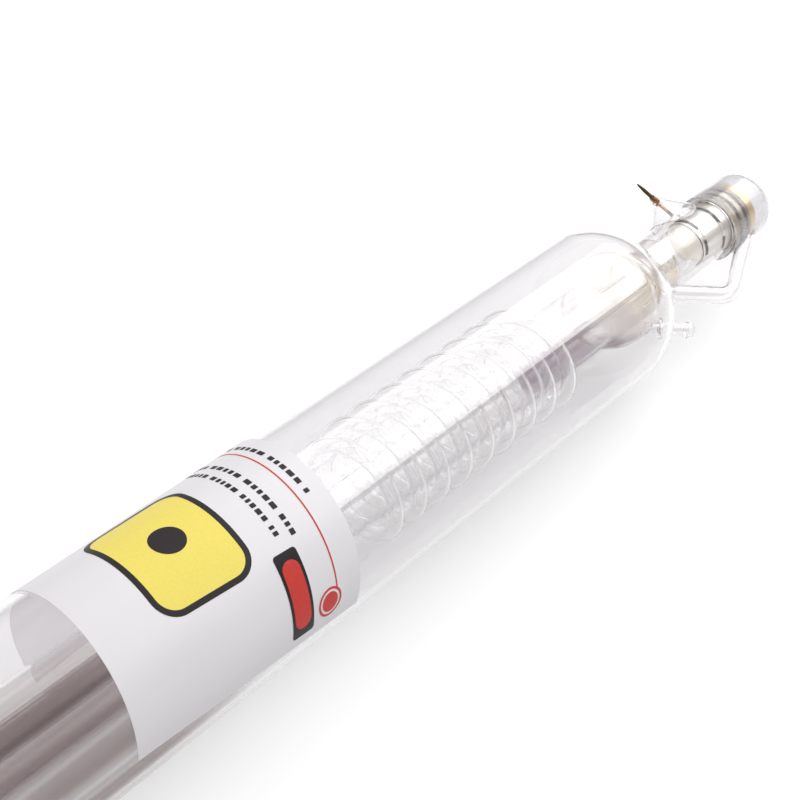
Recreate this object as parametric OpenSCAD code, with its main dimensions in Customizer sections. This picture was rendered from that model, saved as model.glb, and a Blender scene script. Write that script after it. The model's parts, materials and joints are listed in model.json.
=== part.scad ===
// Sealed, water-cooled glass CO2 laser tube, lying on its side.
// The tube's axis runs along X: +X is the rear end with the total reflector,
// -X is the output end. Z is up, and the lowest line of the envelope is at z = 0.

/* [Gas envelope] */
// Outer diameter of the gas envelope
envelope_d = 80; // [78:0.5:90]
// Wall of the gas envelope
envelope_wall = 2.4; // [1.6:0.1:3]
// Distance between the centres of the two end domes
body_length = 761; // [620:1:1400]
// Radius of the blown fillet between a dome and its neck
dome_fillet = 8; // [6:0.5:9]

/* [Necks] */
// Outer diameter of both necks
neck_d = 31.5; // [31:0.25:33]
// Wall of both necks
neck_wall = 1.7; // [1.2:0.1:1.9]
// Length of the neck collar that is drawn out of each dome, from the dome's centre
collar_reach = 60; // [59:0.5:64]
// Length of the rear neck beyond the discharge tube's mouth
rear_neck_length = 41; // [38:1:48]
// Length of the front neck beyond the discharge tube's mouth
front_neck_length = 41.3; // [38:0.1:52]

/* [Water jacket] */
// Outer diameter of the water jacket
jacket_d = 33; // [31:0.5:35]
// Wall of the water jacket
jacket_wall = 1.5; // [1:0.1:1.8]
// Diameter of the blown bulb at each end of the jacket
bulb_d = 48; // [46:0.5:49]
// Centre of the bulb, from the dome's centre
bulb_inset = 15; // [14:0.5:16]
// Radius of the fillet between the jacket and its bulb
bulb_fillet = 10; // [6:0.5:14]

/* [Discharge tube] */
// Outer diameter of the discharge tube
bore_tube_d = 12; // [10:0.5:14]
// Wall of the discharge tube
bore_tube_wall = 1.6; // [1:0.1:2]
// Outer diameter of its flared mouths
mouth_d = 20.6; // [18:0.2:21]
// Length of each flared mouth beyond the neck collar
mouth_length = 22; // [18:0.5:28]
// Length of the flare that leads to each mouth
flare_length = 9; // [6:0.5:12]

/* [Gas return coil] */
// Outer diameter of the coiled return tube
coil_tube_d = 7; // [5:0.25:7.5]
// Wall of the coiled return tube
coil_tube_wall = 1; // [0.8:0.1:1.4]
// Radius of the coil, to the middle of its tube
coil_radius = 23.5; // [22.5:0.25:28]
// Advance of the coil in one turn
coil_pitch = 15; // [11:0.5:18]
// Number of turns
coil_turns = 9; // [5:1:11]
// Distance from the rear dome's centre to the rear end of the coil
coil_inset = 45; // [30:1:90]

/* [Electrodes] */
// Outer diameter of both electrode sleeves
sleeve_d = 22; // [20:0.5:24]
// Wall of both electrode sleeves
sleeve_wall = 0.8; // [0.5:0.1:1.2]
// Gap between the anode sleeve and the mirror seat
anode_gap = 2.7; // [1:0.1:5]
// Gap between the cathode sleeve and the window holder
cathode_gap = 1.7; // [1:0.1:5]
// Distance from a sleeve's inner end to its pin
pin_inset = 9.5; // [8:0.5:15]
// Diameter of the electrode pins
pin_d = 2; // [1:0.1:2.5]
// Distance from the tube's axis to a pin's tip
pin_tip_radius = 39.1; // [37:0.1:39.5]
// Slant of the pins toward the middle of the tube
pin_slant = 17.5; // [0:0.5:22]
// Direction of the pins round the tube, from +Y toward +Z
pin_angle = 40; // [20:1:160]
// How far the glass seal spreads along the neck, each way
seal_spread = 16; // [10:0.5:17]
// How far the glass seal spreads round the neck, each way, in degrees
seal_roll = 50; // [35:1:55]
// Radius of the glass seal at its tip
seal_tip_radius = 2; // [1.5:0.1:3]
// Height of the glass seal above the neck
seal_height = 14.5; // [12:0.5:18]

/* [Rear mirror] */
// Diameter of the total reflector
mirror_d = 30; // [28:0.5:30.5]
// Thickness of the total reflector
mirror_thickness = 6; // [4:0.5:8]
// Length of the metal mirror seat inside the neck
seat_length = 12; // [9:0.5:13]
// Bore of the mirror seat
seat_bore = 22; // [18:0.5:24]
// Room between the neck and the glass cooling cup
cup_room = 0.65; // [0.5:0.05:2.5]
// Wall of the cooling cup
cup_wall = 1.4; // [1.2:0.1:2]
// Gap between the anode pin's glass seal and the cooling cup
cup_gap = 0.6; // [0.3:0.1:4]
// Length of the cooling cup beyond the neck
cup_depth = 21.4; // [18:0.1:30]
// Radius of the cup's rounded rear edge
cup_round = 7.5; // [4:0.5:11]

/* [Output end] */
// Diameter of the output window
window_d = 25; // [20:0.5:26]
// Thickness of the output window
window_thickness = 3; // [2:0.5:5]
// Length of the metal window holder beyond the neck
holder_length = 16; // [12:0.5:20]
// Outer diameter of the window holder
holder_d = 36; // [34:0.5:40]
// Thickness of the ring that keeps the window in its holder
retainer_thickness = 5; // [3:0.5:6]
// Clear aperture in front of the window
aperture_d = 18; // [14:0.5:19]
// Width of the ledge that the window rests on
window_lip = 3; // [2:0.25:4]

/* [Water fittings] */
// Outer diameter of the hose nipples
nipple_d = 7; // [6:0.25:8]
// Wall of the hose nipples
nipple_wall = 1.1; // [0.8:0.1:1.4]
// Length of a hose nipple outside its dome
nipple_reach = 17; // [12:0.5:18]
// Rise of the bead at the nipple's mouth
nipple_bead = 0.6; // [0.3:0.1:0.8]
// Place of the nipples on their domes, as an angle from the tube's axis
nipple_spot = 43.5; // [40:0.5:46]
// Slant of the nipples from the tube's axis
nipple_slant = 30; // [25:1:36]
// Direction of the nipples round the tube, from +Y toward +Z
nipple_angle = 210; // [195:1:225]
// Outer diameter of the bridge pipe between the jacket and the cooling cup
bridge_d = 9; // [7:0.25:9.5]
// Wall of the bridge pipe
bridge_wall = 1.2; // [0.8:0.1:1.5]
// Radius of the bridge pipe's bend, to the middle of the pipe
bridge_bend = 14; // [10:0.5:18]
// Slant at which the bridge pipe rises from the jacket
bridge_rise = 33.2; // [31:0.1:38]
// Slant at which the bridge pipe comes down on the cooling cup
bridge_fall = 24.5; // [23:0.1:28]
// Direction of the bridge pipe round the tube, from +Y toward +Z
bridge_angle = 205; // [195:1:215]

/* [Exhaust stem] */
// Diameter of the sealed exhaust stem on the front dome
stem_d = 8; // [6:0.5:10]
// Height of the sealed exhaust stem outside the dome
stem_height = 9; // [6:0.5:10]
// Direction of the exhaust stem round the tube, from +Y toward +Z
stem_angle = 90; // [60:1:120]
// Place of the exhaust stem on its dome, as an angle from the tube's axis
stem_spot = 45; // [40:1:50]

/* [Label] */
// Length of the label along the tube
label_length = 113; // [80:1:150]
// Size of the label round the tube
label_height = 150; // [100:1:160]
// Thickness of the label
label_thickness = 0.15; // [0.1:0.01:0.15]
// Centre of the label along the tube, from the middle of the tube
label_x = 116.5; // [60:0.5:120]
// Lower edge of the label round the tube, from +Y toward +Z
label_edge_angle = 190; // [185:1:205]
// Turn of the label out of square
label_skew = 4.5; // [-5:0.5:5]

/* [Fits] */
// Gap between fused or seated pieces
seam = 0.1; // [0.08:0.01:0.2]

/* [Hidden] */
$fn = 96;

glass = [0.86, 0.88, 0.89, 0.45];
jacket_glass = [0.80, 0.78, 0.80, 0.6];
envelope_r = envelope_d / 2;
neck_r = neck_d / 2;
neck_bore_r = neck_r - neck_wall;
jacket_r = jacket_d / 2;
bore_tube_r = bore_tube_d / 2;
sleeve_r = sleeve_d / 2;
pin_r = pin_d / 2;
coil_tube_r = coil_tube_d / 2;
mirror_r = mirror_d / 2;
cup_r = neck_r + cup_room + cup_wall;
nipple_r = nipple_d / 2;
bridge_r = bridge_d / 2;
dome_x = body_length / 2;
// How far these reach, from the centre of their dome.
mouth_reach = collar_reach + mouth_length;
rear_neck_reach = mouth_reach + rear_neck_length;
front_neck_reach = mouth_reach + front_neck_length;
arc_steps = 14;

// The end of the jacket slides into the neck collar and closes on the discharge tube.
jacket_collar_r = neck_bore_r - 2 * seam;
jacket_collar_fillet = 3;
jacket_end = collar_reach - 1;

// ---- profiles: lists of [radius, x], with x measured from a dome's centre ----

// Points on an arc round [centre_r, centre_x], with the angle from +X toward +radius.
function arc(centre_x, centre_r, radius, from, to, steps = arc_steps) = [
    for (i = [0 : steps])
        let (a = from + (to - from) * i / steps)
        [centre_r + radius * sin(a), centre_x + radius * cos(a)]
];

// A dome that flows into a neck through a fillet.
function dome_path(dome_r, tube_r, fillet, reach) =
    let (centre_r = tube_r + fillet,
         centre_x = sqrt(pow(dome_r + fillet, 2) - pow(centre_r, 2)),
         touch = atan2(centre_r, centre_x))
    concat(arc(0, 0, dome_r, 90, touch),
           arc(centre_x, centre_r, fillet, touch + 180, 270),
           [[tube_r, reach]]);

// A tube that swells into a bulb and comes down again to a collar.
function bulb_path(bulb_r, in_r, in_fillet, out_r, out_fillet, reach) =
    let (in_x = sqrt(pow(bulb_r + in_fillet, 2) - pow(in_r + in_fillet, 2)),
         out_x = sqrt(pow(bulb_r + out_fillet, 2) - pow(out_r + out_fillet, 2)),
         in_touch = atan2(in_r + in_fillet, in_x),
         out_touch = atan2(out_r + out_fillet, out_x))
    concat(arc(bulb_inset - in_x, in_r + in_fillet, in_fillet, 270, 360 - in_touch, 6),
           arc(bulb_inset, 0, bulb_r, 180 - in_touch, out_touch, 2 * arc_steps),
           arc(bulb_inset + out_x, out_r + out_fillet, out_fillet, 180 + out_touch, 270, 6),
           [[out_r, reach]]);

function reversed(points) = [for (i = [len(points) - 1 : -1 : 0]) points[i]];

// The same profile at both ends of the tube, running from the front to the rear.
function both_ends(points) = concat(
    [for (p = reversed(points)) [p[0], -dome_x - p[1]]],
    [for (p = points) [p[0], dome_x + p[1]]]
);

// ---- placing ----

// Puts the tube's axis at its height above the surface.
module on_axis() {
    translate([0, 0, envelope_r]) children();
}

// Turns a profile of [radius, x] round the tube's axis.
module turned(points) {
    rotate([0, 90, 0]) rotate_extrude() polygon(points);
}

// Frame of one end: x runs outward from the dome's centre. side is 1 at the rear, -1 in front.
module at_end(side) {
    mirror([side < 0 ? 1 : 0, 0, 0]) translate([dome_x, 0, 0]) children();
}

// Frame in which +Y points away from the tube's axis in the given direction.
module around(angle) {
    rotate([angle, 0, 0]) children();
}

// A rod in the plane of X and Y from point p to point q.
module leg(p, q, radius) {
    d = q - p;
    translate([p[0], p[1], 0]) rotate([0, 0, atan2(d[1], d[0])]) rotate([0, 90, 0])
        cylinder(h = norm(d), r = radius);
}

// ---- glass body ----

module outer_envelope() {
    outer = dome_path(envelope_r, neck_r, dome_fillet, collar_reach);
    inner = dome_path(envelope_r - envelope_wall, neck_bore_r, dome_fillet + neck_wall,
                      collar_reach);
    color(glass) on_axis() difference() {
        turned(concat(both_ends(outer), reversed(both_ends(inner))));
        for (side = [1, -1]) at_end(side) around(nipple_angle) nipple_path(nipple_r + seam);
        at_end(1) around(bridge_angle) bridge_inner_leg(bridge_r + seam);
        at_end(-1) around(stem_angle) stem_shaft(stem_d / 2 + seam);
    }
}

module neck(reach) {
    turned([[neck_bore_r, collar_reach], [neck_r, collar_reach],
            [neck_r, reach], [neck_bore_r, reach]]);
}

module rear_neck() {
    color(glass) on_axis() at_end(1) difference() {
        neck(rear_neck_reach);
        around(pin_angle) pin_shaft(pin_r + seam);
    }
}

module front_neck() {
    color(glass) on_axis() at_end(-1) difference() {
        neck(front_neck_reach);
        around(pin_angle) pin_shaft(pin_r + seam);
    }
}

module water_jacket() {
    bulb_r = bulb_d / 2;
    edge = 2;
    closing_r = bore_tube_r + seam;
    outer = concat(
        bulb_path(bulb_r, jacket_r, bulb_fillet, jacket_collar_r, jacket_collar_fillet,
                  jacket_end - edge),
        [[jacket_collar_r - edge, jacket_end], [closing_r, jacket_end]]);
    inner = concat(
        bulb_path(bulb_r - jacket_wall, jacket_r - jacket_wall, bulb_fillet + jacket_wall,
                  jacket_collar_r - jacket_wall, jacket_collar_fillet + jacket_wall,
                  jacket_end - edge),
        [[jacket_collar_r - edge, jacket_end - jacket_wall],
         [closing_r, jacket_end - jacket_wall]]);
    color(jacket_glass) on_axis() difference() {
        turned(concat(both_ends(outer), reversed(both_ends(inner))));
        for (side = [1, -1]) at_end(side) around(nipple_angle) nipple_path(nipple_r + seam);
        at_end(1) around(bridge_angle) bridge_inner_leg(bridge_r + seam);
    }
}

module discharge_tube() {
    steps = 10;
    mouth_r = mouth_d / 2;
    flare_start = jacket_end + 3;
    function flare(from_r, to_r) = [
        for (i = [0 : steps])
            [from_r + (to_r - from_r) * (1 - cos(180 * i / steps)) / 2,
             flare_start + flare_length * i / steps]
    ];
    outer = concat(flare(bore_tube_r, mouth_r), [[mouth_r, mouth_reach]]);
    inner = concat(flare(bore_tube_r - bore_tube_wall, mouth_r - bore_tube_wall),
                   [[mouth_r - bore_tube_wall, mouth_reach]]);
    color(jacket_glass) on_axis()
        turned(concat(both_ends(outer), reversed(both_ends(inner))));
}

// ---- gas return coil: a hollow tube swept along a helix ----

coil_segments = 22;
coil_sides = 8;
coil_lead = 0.4;
coil_rest_r = jacket_r + coil_tube_r + 2 * seam;
coil_rings = coil_turns * coil_segments;

// Radius of the coil after a number of turns: it comes down onto the jacket at both ends.
function coil_r(turn) =
    let (ends = min(turn, coil_turns - turn),
         share = min(1, ends / coil_lead))
    coil_rest_r + (coil_radius - coil_rest_r) * (1 - cos(180 * share)) / 2;

function coil_point(turn) = [
    dome_x - coil_inset - coil_pitch * (coil_turns - turn),
    coil_r(turn) * cos(360 * turn),
    coil_r(turn) * sin(360 * turn)
];

function unit(v) = v / norm(v);

// One ring of a hollow tube: the outer points, then the inner ones.
function tube_ring(centre, up, across, outer_r, inner_r, sides) = [
    for (radius = [outer_r, inner_r], k = [0 : sides - 1])
        centre + radius * (up * cos(360 * k / sides) + across * sin(360 * k / sides))
];

// Faces of a hollow tube along its rings, with both ends open.
function tube_faces(rings, sides) = concat(
    [for (i = [0 : rings - 1], k = [0 : sides - 1])
        let (next = (k + 1) % sides,
             a = 2 * sides * i + k,
             b = 2 * sides * i + next,
             ahead = 2 * sides)
        each [[b, a, b + ahead], [b + ahead, a, a + ahead],
              [a + sides, b + sides, a + sides + ahead],
              [a + sides + ahead, b + sides, b + sides + ahead]]],
    [for (end = [0, rings], k = [0 : sides - 1])
        let (next = (k + 1) % sides,
             first = 2 * sides * end,
             a = first + k,
             b = first + next)
        each end == 0 ? [[a, b, a + sides], [a + sides, b, b + sides]]
                      : [[b, a, b + sides], [b + sides, a, a + sides]]]
);

// One ring of the coil's tube after a number of turns.
function coil_ring(turn) =
    let (step = 0.01,
         along = unit(coil_point(turn + step) - coil_point(turn - step)),
         outward = [0, cos(360 * turn), sin(360 * turn)],
         across = unit(cross(along, outward)))
    tube_ring(coil_point(turn), cross(across, along), across,
              coil_tube_r, coil_tube_r - coil_tube_wall, coil_sides);

module gas_return_coil() {
    color(glass) on_axis() polyhedron(
        [for (i = [0 : coil_rings]) each coil_ring(i / coil_segments)],
        tube_faces(coil_rings, coil_sides), convexity = 10);
}

// ---- electrodes ----

// The sleeve touches the pin's foot, and the pin slants toward the middle of the tube.
sleeve_start = mouth_reach + 3 * seam;
pin_foot = [sleeve_start + pin_inset, sleeve_r + seam + pin_r * sin(pin_slant)];
pin_rise = pin_tip_radius - pin_foot[1];
pin_tip = [pin_foot[0] - pin_rise * tan(pin_slant), pin_tip_radius];
pin_dir = unit(pin_tip - pin_foot);

// The pin leaves the neck here, and its glass seal ends here.
seal_root = pin_foot + pin_dir * (neck_r - pin_foot[1]) / cos(pin_slant);
seal_tip = seal_root + pin_dir * seal_height;
seal_middle = (seal_root[0] + seal_tip[0]) / 2;

// The cooling cup begins behind the anode pin's seal and ends behind the mirror.
cup_start = seal_middle + seal_spread + cup_gap;
cup_end = rear_neck_reach + cup_depth;

module pin_shaft(radius) {
    leg(pin_foot, pin_tip, radius);
}

module sleeve(length, beads) {
    bead = 0.6;
    bead_w = 1.4;
    turned([[sleeve_r - sleeve_wall, sleeve_start], [sleeve_r, sleeve_start],
        for (x = beads) each [
            [sleeve_r, sleeve_start + x - bead_w],
            [sleeve_r - bead, sleeve_start + x - bead_w / 3],
            [sleeve_r - bead, sleeve_start + x + bead_w / 3],
            [sleeve_r, sleeve_start + x + bead_w]],
        [sleeve_r, sleeve_start + length], [sleeve_r - sleeve_wall, sleeve_start + length]]);
}

// Rings of the seal, in the frame of the pin's direction: a flat one inside the neck, its
// foot on the neck, and two round the pin, of which the last is its tip.
seal_sides = 32;
seal_collar = 2.5;
seal_across = [pin_dir[1], -pin_dir[0], 0];

function seal_foot_ring(sunk) = [
    for (i = [0 : seal_sides - 1])
        let (a = 360 * i / seal_sides, roll = seal_roll * sin(a))
        [seal_middle + seal_spread * cos(a),
         neck_r * cos(sunk ? seal_roll : roll) - (sunk ? 1 : 0),
         neck_r * sin(roll)]
];

function seal_tip_ring(back) = [
    for (i = [0 : seal_sides - 1])
        let (a = 360 * i / seal_sides, middle = seal_tip - back * pin_dir)
        [middle[0], middle[1], 0]
            + seal_tip_radius * (seal_across * cos(a) + [0, 0, 1] * sin(a))
];

// A cone of glass drawn up round the pin, seated on the neck.
module pin_seal() {
    rings = 4;
    points = concat(seal_foot_ring(true), seal_foot_ring(false),
                    seal_tip_ring(seal_collar), seal_tip_ring(0));
    last = seal_sides * (rings - 1);
    faces = concat(
        [[for (k = [seal_sides - 1 : -1 : 0]) k]],
        [for (i = [0 : rings - 2], k = [0 : seal_sides - 1])
            let (a = seal_sides * i + k, b = seal_sides * i + (k + 1) % seal_sides)
            each [[a, b, a + seal_sides], [a + seal_sides, b, b + seal_sides]]],
        [[for (k = [0 : seal_sides - 1]) last + k]]);
    color(glass) on_axis() difference() {
        around(pin_angle) polyhedron(points, faces, convexity = 4);
        rotate([0, 90, 0]) cylinder(h = rear_neck_reach, r = neck_r + seam / 2);
        around(pin_angle) pin_shaft(pin_r + seam / 2);
    }
}

module pin() {
    color("dimgray") around(pin_angle) pin_shaft(pin_r);
}

// Each sleeve fills its neck up to a gap before the part that closes the neck.
holder_spigot = 8;
anode_length = rear_neck_reach - seat_length - anode_gap - sleeve_start;
cathode_length = front_neck_reach - holder_spigot - cathode_gap - sleeve_start;

module anode_sleeve() {
    color("gainsboro") on_axis() at_end(1) sleeve(anode_length, [3, anode_length - 7]);
}

module anode_pin() {
    on_axis() at_end(1) pin();
}

module anode_pin_seal() {
    translate([dome_x, 0, 0]) pin_seal();
}

module cathode_sleeve() {
    color("gainsboro") on_axis() at_end(-1) sleeve(cathode_length, [3, cathode_length - 3]);
}

module cathode_pin() {
    on_axis() at_end(-1) pin();
}

module cathode_pin_seal() {
    mirror([1, 0, 0]) translate([dome_x, 0, 0]) pin_seal();
}

// ---- rear mirror and its cooling cup ----

module rear_mirror_seat() {
    seat_r = neck_bore_r - seam;
    groove = 1.2;
    groove_w = 1.5;
    start = rear_neck_reach - seat_length;
    grooves = [start + seat_length / 4, start + seat_length * 3 / 4];
    color("darkgoldenrod") on_axis() at_end(1)
        turned([[seat_bore / 2, start], [seat_r, start],
            for (x = grooves) each [
                [seat_r, x - groove_w], [seat_r - groove, x - groove_w],
                [seat_r - groove, x + groove_w], [seat_r, x + groove_w]],
            [seat_r, rear_neck_reach], [seat_bore / 2, rear_neck_reach]]);
}

module rear_mirror() {
    edge = 0.4;
    start = rear_neck_reach;
    end = start + mirror_thickness;
    color("gold") on_axis() at_end(1)
        turned([[0, start], [mirror_r - edge, start], [mirror_r, start + edge],
                [mirror_r, end - edge], [mirror_r - edge, end], [0, end]]);
}

function cup_path(r, start, end, front_round, rear_round, opening) = concat(
    [[opening, start]],
    arc(start + front_round, r - front_round, front_round, 180, 90, 6),
    arc(end - rear_round, r - rear_round, rear_round, 90, 0, 8),
    [[0, end]]
);

module mirror_cooling_cup() {
    opening = neck_r + seam;
    front_round = 0.75 * (cup_r - opening);
    inner_front_round = 0.5 * (cup_r - cup_wall - opening);
    color([0.85, 0.86, 0.87, 0.7]) on_axis() at_end(1) difference() {
        turned(concat(
            cup_path(cup_r, cup_start, cup_end, front_round, cup_round, opening),
            reversed(cup_path(cup_r - cup_wall, cup_start + cup_wall, cup_end - cup_wall,
                              inner_front_round, cup_round - cup_wall, opening))));
        around(bridge_angle) bridge_outer_leg(bridge_r + seam);
    }
}

// ---- water fittings ----

// The bridge leaves the jacket's end, bends outside the neck and comes down on the cup.
bridge_inlet_r = jacket_collar_r - jacket_wall;
bridge_outlet_r = cup_r - cup_wall;
bridge_trim = 3.5;
bridge_inlet = [collar_reach - 2.3 * bridge_d, bridge_inlet_r - bridge_trim];
bridge_outlet = [cup_start + 2.7 * bridge_d, bridge_outlet_r - bridge_trim];

bridge_turn = bridge_rise + bridge_fall;
bridge_up = [cos(bridge_rise), sin(bridge_rise)];
bridge_down = [cos(bridge_fall), -sin(bridge_fall)];

// The two legs would meet at this corner, which the bend rounds off.
bridge_span = bridge_outlet - bridge_inlet;
bridge_corner = bridge_inlet + bridge_up
    * (bridge_span[0] * sin(bridge_fall) + bridge_span[1] * cos(bridge_fall)) / sin(bridge_turn);
bridge_cut = bridge_bend * tan(bridge_turn / 2);
bridge_from = bridge_corner - bridge_cut * bridge_up;
bridge_to = bridge_corner + bridge_cut * bridge_down;
bridge_centre = bridge_from + bridge_bend * [bridge_up[1], -bridge_up[0]];

module bridge_inner_leg(radius) {
    leg(bridge_inlet, bridge_from, radius);
}

module bridge_outer_leg(radius) {
    leg(bridge_to, bridge_outlet, radius);
}

bridge_bend_steps = 8;
bridge_sides = 20;

// Stations along the pipe: where its middle is, and which way it heads there.
bridge_stations = concat(
    [[bridge_inlet, bridge_rise]],
    [for (i = [0 : bridge_bend_steps])
        let (way = bridge_rise - bridge_turn * i / bridge_bend_steps)
        [bridge_centre + bridge_bend * [-sin(way), cos(way)], way]],
    [[bridge_outlet, -bridge_fall]]
);

module bridge_pipe() {
    rings = [
        for (station = bridge_stations)
            each tube_ring([station[0][0], station[0][1], 0],
                           [-sin(station[1]), cos(station[1]), 0], [0, 0, 1],
                           bridge_r, bridge_r - bridge_wall, bridge_sides)
    ];
    middle = (bridge_from[0] + bridge_to[0]) / 2;
    color(glass) on_axis() at_end(1) difference() {
        around(bridge_angle)
            polyhedron(rings, tube_faces(len(bridge_stations) - 1, bridge_sides), convexity = 4);
        rotate([0, 90, 0]) cylinder(h = middle, r = bridge_inlet_r);
        translate([middle, 0, 0]) rotate([0, 90, 0])
            cylinder(h = cup_end - middle, r = bridge_outlet_r);
    }
}

// A nipple starts inside the jacket's bulb, passes through the dome and ends in a beaded mouth.
nipple_root = envelope_r * [cos(nipple_spot), sin(nipple_spot)];
nipple_dir = [cos(nipple_slant), sin(nipple_slant)];
nipple_sink = reach_back(nipple_root - [bulb_inset, 0], nipple_dir, bulb_d / 2 - jacket_wall)
    + nipple_r;

// Distance from a point, back along a direction, to a circle round the origin.
function reach_back(point, dir, radius) =
    let (b = point * dir)
    b - sqrt(b * b - point * point + radius * radius);

module nipple_path(radius) {
    leg(nipple_root - nipple_sink * nipple_dir, nipple_root + nipple_reach * nipple_dir, radius);
}

module nipple(side) {
    bead_w = 2;
    bore_r = nipple_r - nipple_wall;
    bead_r = nipple_r + nipple_bead;
    start = nipple_root - nipple_sink * nipple_dir;
    length = nipple_sink + nipple_reach;
    color(glass) on_axis() at_end(side) around(nipple_angle)
        translate([start[0], start[1], 0]) rotate([0, 0, nipple_slant]) rotate([0, 90, 0])
            rotate_extrude() polygon([
                [bore_r, 0], [nipple_r, 0], [nipple_r, length - 2 * bead_w],
                [bead_r, length - 1.3 * bead_w], [bead_r, length - 0.5 * bead_w],
                [nipple_r, length], [bore_r, length]]);
}

module rear_water_nipple() {
    nipple(1);
}

module front_water_nipple() {
    nipple(-1);
}

// ---- sealed exhaust stem on the front dome ----

stem_dir = [cos(stem_spot), sin(stem_spot)];
stem_root = (envelope_r - envelope_wall) * stem_dir;

module stem_shaft(radius) {
    leg(stem_root, stem_root + (envelope_wall + stem_height) * stem_dir, radius);
}

module exhaust_stem() {
    radius = stem_d / 2;
    wall = 1.2;
    tip_r = 1;
    shoulder = envelope_wall + stem_height * 0.45;
    end = envelope_wall + stem_height;
    color(glass) on_axis() at_end(-1) around(stem_angle)
        translate([stem_root[0], stem_root[1], 0]) rotate([0, 0, stem_spot])
            rotate([0, 90, 0]) rotate_extrude() polygon([
                [radius - wall, 0], [radius, 0], [radius, shoulder],
                [radius * 0.6, (shoulder + end) / 2], [tip_r, end], [0, end],
                [0, (shoulder + end) / 2], [radius - wall, shoulder]]);
}

// ---- output end ----

module output_holder() {
    holder_r = holder_d / 2;
    spigot_r = neck_bore_r - seam;
    bore_r = window_d / 2 - window_lip;
    start = front_neck_reach;
    end = start + holder_length;
    pocket = end - window_thickness - seam;
    groove = 1.5;
    color("silver") on_axis() at_end(-1)
        turned([[bore_r, start - holder_spigot], [spigot_r, start - holder_spigot], [spigot_r, start],
                [holder_r, start], [holder_r, start + 5], [holder_r - groove, start + 5],
                [holder_r - groove, start + 9], [holder_r, start + 9], [holder_r, end],
                [window_d / 2 + seam, end], [window_d / 2 + seam, pocket], [bore_r, pocket]]);
}

module output_window() {
    start = front_neck_reach + holder_length - window_thickness;
    end = start + window_thickness;
    r = window_d / 2;
    edge = 0.3;
    color("orange") on_axis() at_end(-1)
        turned([[0, start], [r - edge, start], [r, start + edge],
                [r, end - edge], [r - edge, end], [0, end]]);
}

module output_retainer() {
    r = holder_d / 2;
    start = front_neck_reach + holder_length + seam;
    end = start + retainer_thickness;
    edge = 1;
    color("silver") on_axis() at_end(-1)
        turned([[aperture_d / 2, start], [r, start], [r, end - edge], [r - edge, end],
                [aperture_d / 2 + edge, end], [aperture_d / 2, end - edge]]);
}

// ---- label: a sheet wrapped round the envelope, slightly out of square ----

label_steps = 48;
label_rows = 6;
label_r = envelope_r + seam / 2;
label_centre_angle = label_edge_angle - label_height / 2 / envelope_r * 180 / PI;

// A point of the label: along and across are measured on the flat sheet from its centre.
function label_point(along, across, radius) =
    let (x = along * cos(label_skew) - across * sin(label_skew),
         round_way = along * sin(label_skew) + across * cos(label_skew),
         angle = label_centre_angle + round_way / envelope_r * 180 / PI)
    [label_x + x, radius * cos(angle), radius * sin(angle)];

// The sheet is a grid of points on its inner and its outer side, joined along its edges.
module label_wrap() {
    across_count = label_rows + 1;
    side_count = (label_steps + 1) * across_count;
    points = [
        for (radius = [label_r, label_r + label_thickness], i = [0 : label_steps], j = [0 : label_rows])
            label_point(label_length * (j / label_rows - 0.5),
                        label_height * (i / label_steps - 0.5), radius)
    ];
    function at(i, j) = i * across_count + j;
    function quad(a, b, c, d) = [[a, c, b], [a, d, c]];
    faces = concat(
        [for (i = [0 : label_steps - 1], j = [0 : label_rows - 1])
            let (a = at(i, j), b = at(i, j + 1), c = at(i + 1, j + 1), d = at(i + 1, j))
            each concat(quad(b, c, d, a),
                        quad(d + side_count, c + side_count, b + side_count, a + side_count))],
        [for (i = [0 : label_steps - 1], j = [0, label_rows])
            let (a = at(i, j), d = at(i + 1, j))
            each j == 0 ? quad(a, d, d + side_count, a + side_count)
                        : quad(d, a, a + side_count, d + side_count)],
        [for (j = [0 : label_rows - 1], i = [0, label_steps])
            let (a = at(i, j), b = at(i, j + 1))
            each i == 0 ? quad(b, a, a + side_count, b + side_count)
                        : quad(a, b, b + side_count, a + side_count)]
    );
    color("white") on_axis() polyhedron(points, faces, convexity = 4);
}

outer_envelope();
rear_neck();
front_neck();
water_jacket();
discharge_tube();
gas_return_coil();
anode_sleeve();
anode_pin();
anode_pin_seal();
cathode_sleeve();
cathode_pin();
cathode_pin_seal();
rear_mirror_seat();
rear_mirror();
mirror_cooling_cup();
bridge_pipe();
rear_water_nipple();
front_water_nipple();
exhaust_stem();
output_holder();
output_window();
output_retainer();
label_wrap();
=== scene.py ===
# %% [markdown]
# # A sealed glass CO2 laser tube
# This tube is nearly all glass: a long envelope with blown domes, a water jacket inside it, and
# a thin discharge tube inside that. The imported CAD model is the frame, and it says where each
# piece sits. Glass shows its edges by bending light, so the facets of a CAD mesh would show.
# The glass pieces are therefore turned and swept again here, with the same sizes and many more
# steps, and each one stands for its CAD node. The small metal pieces are turned again too, for
# the sake of their beads, grooves and points.

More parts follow.
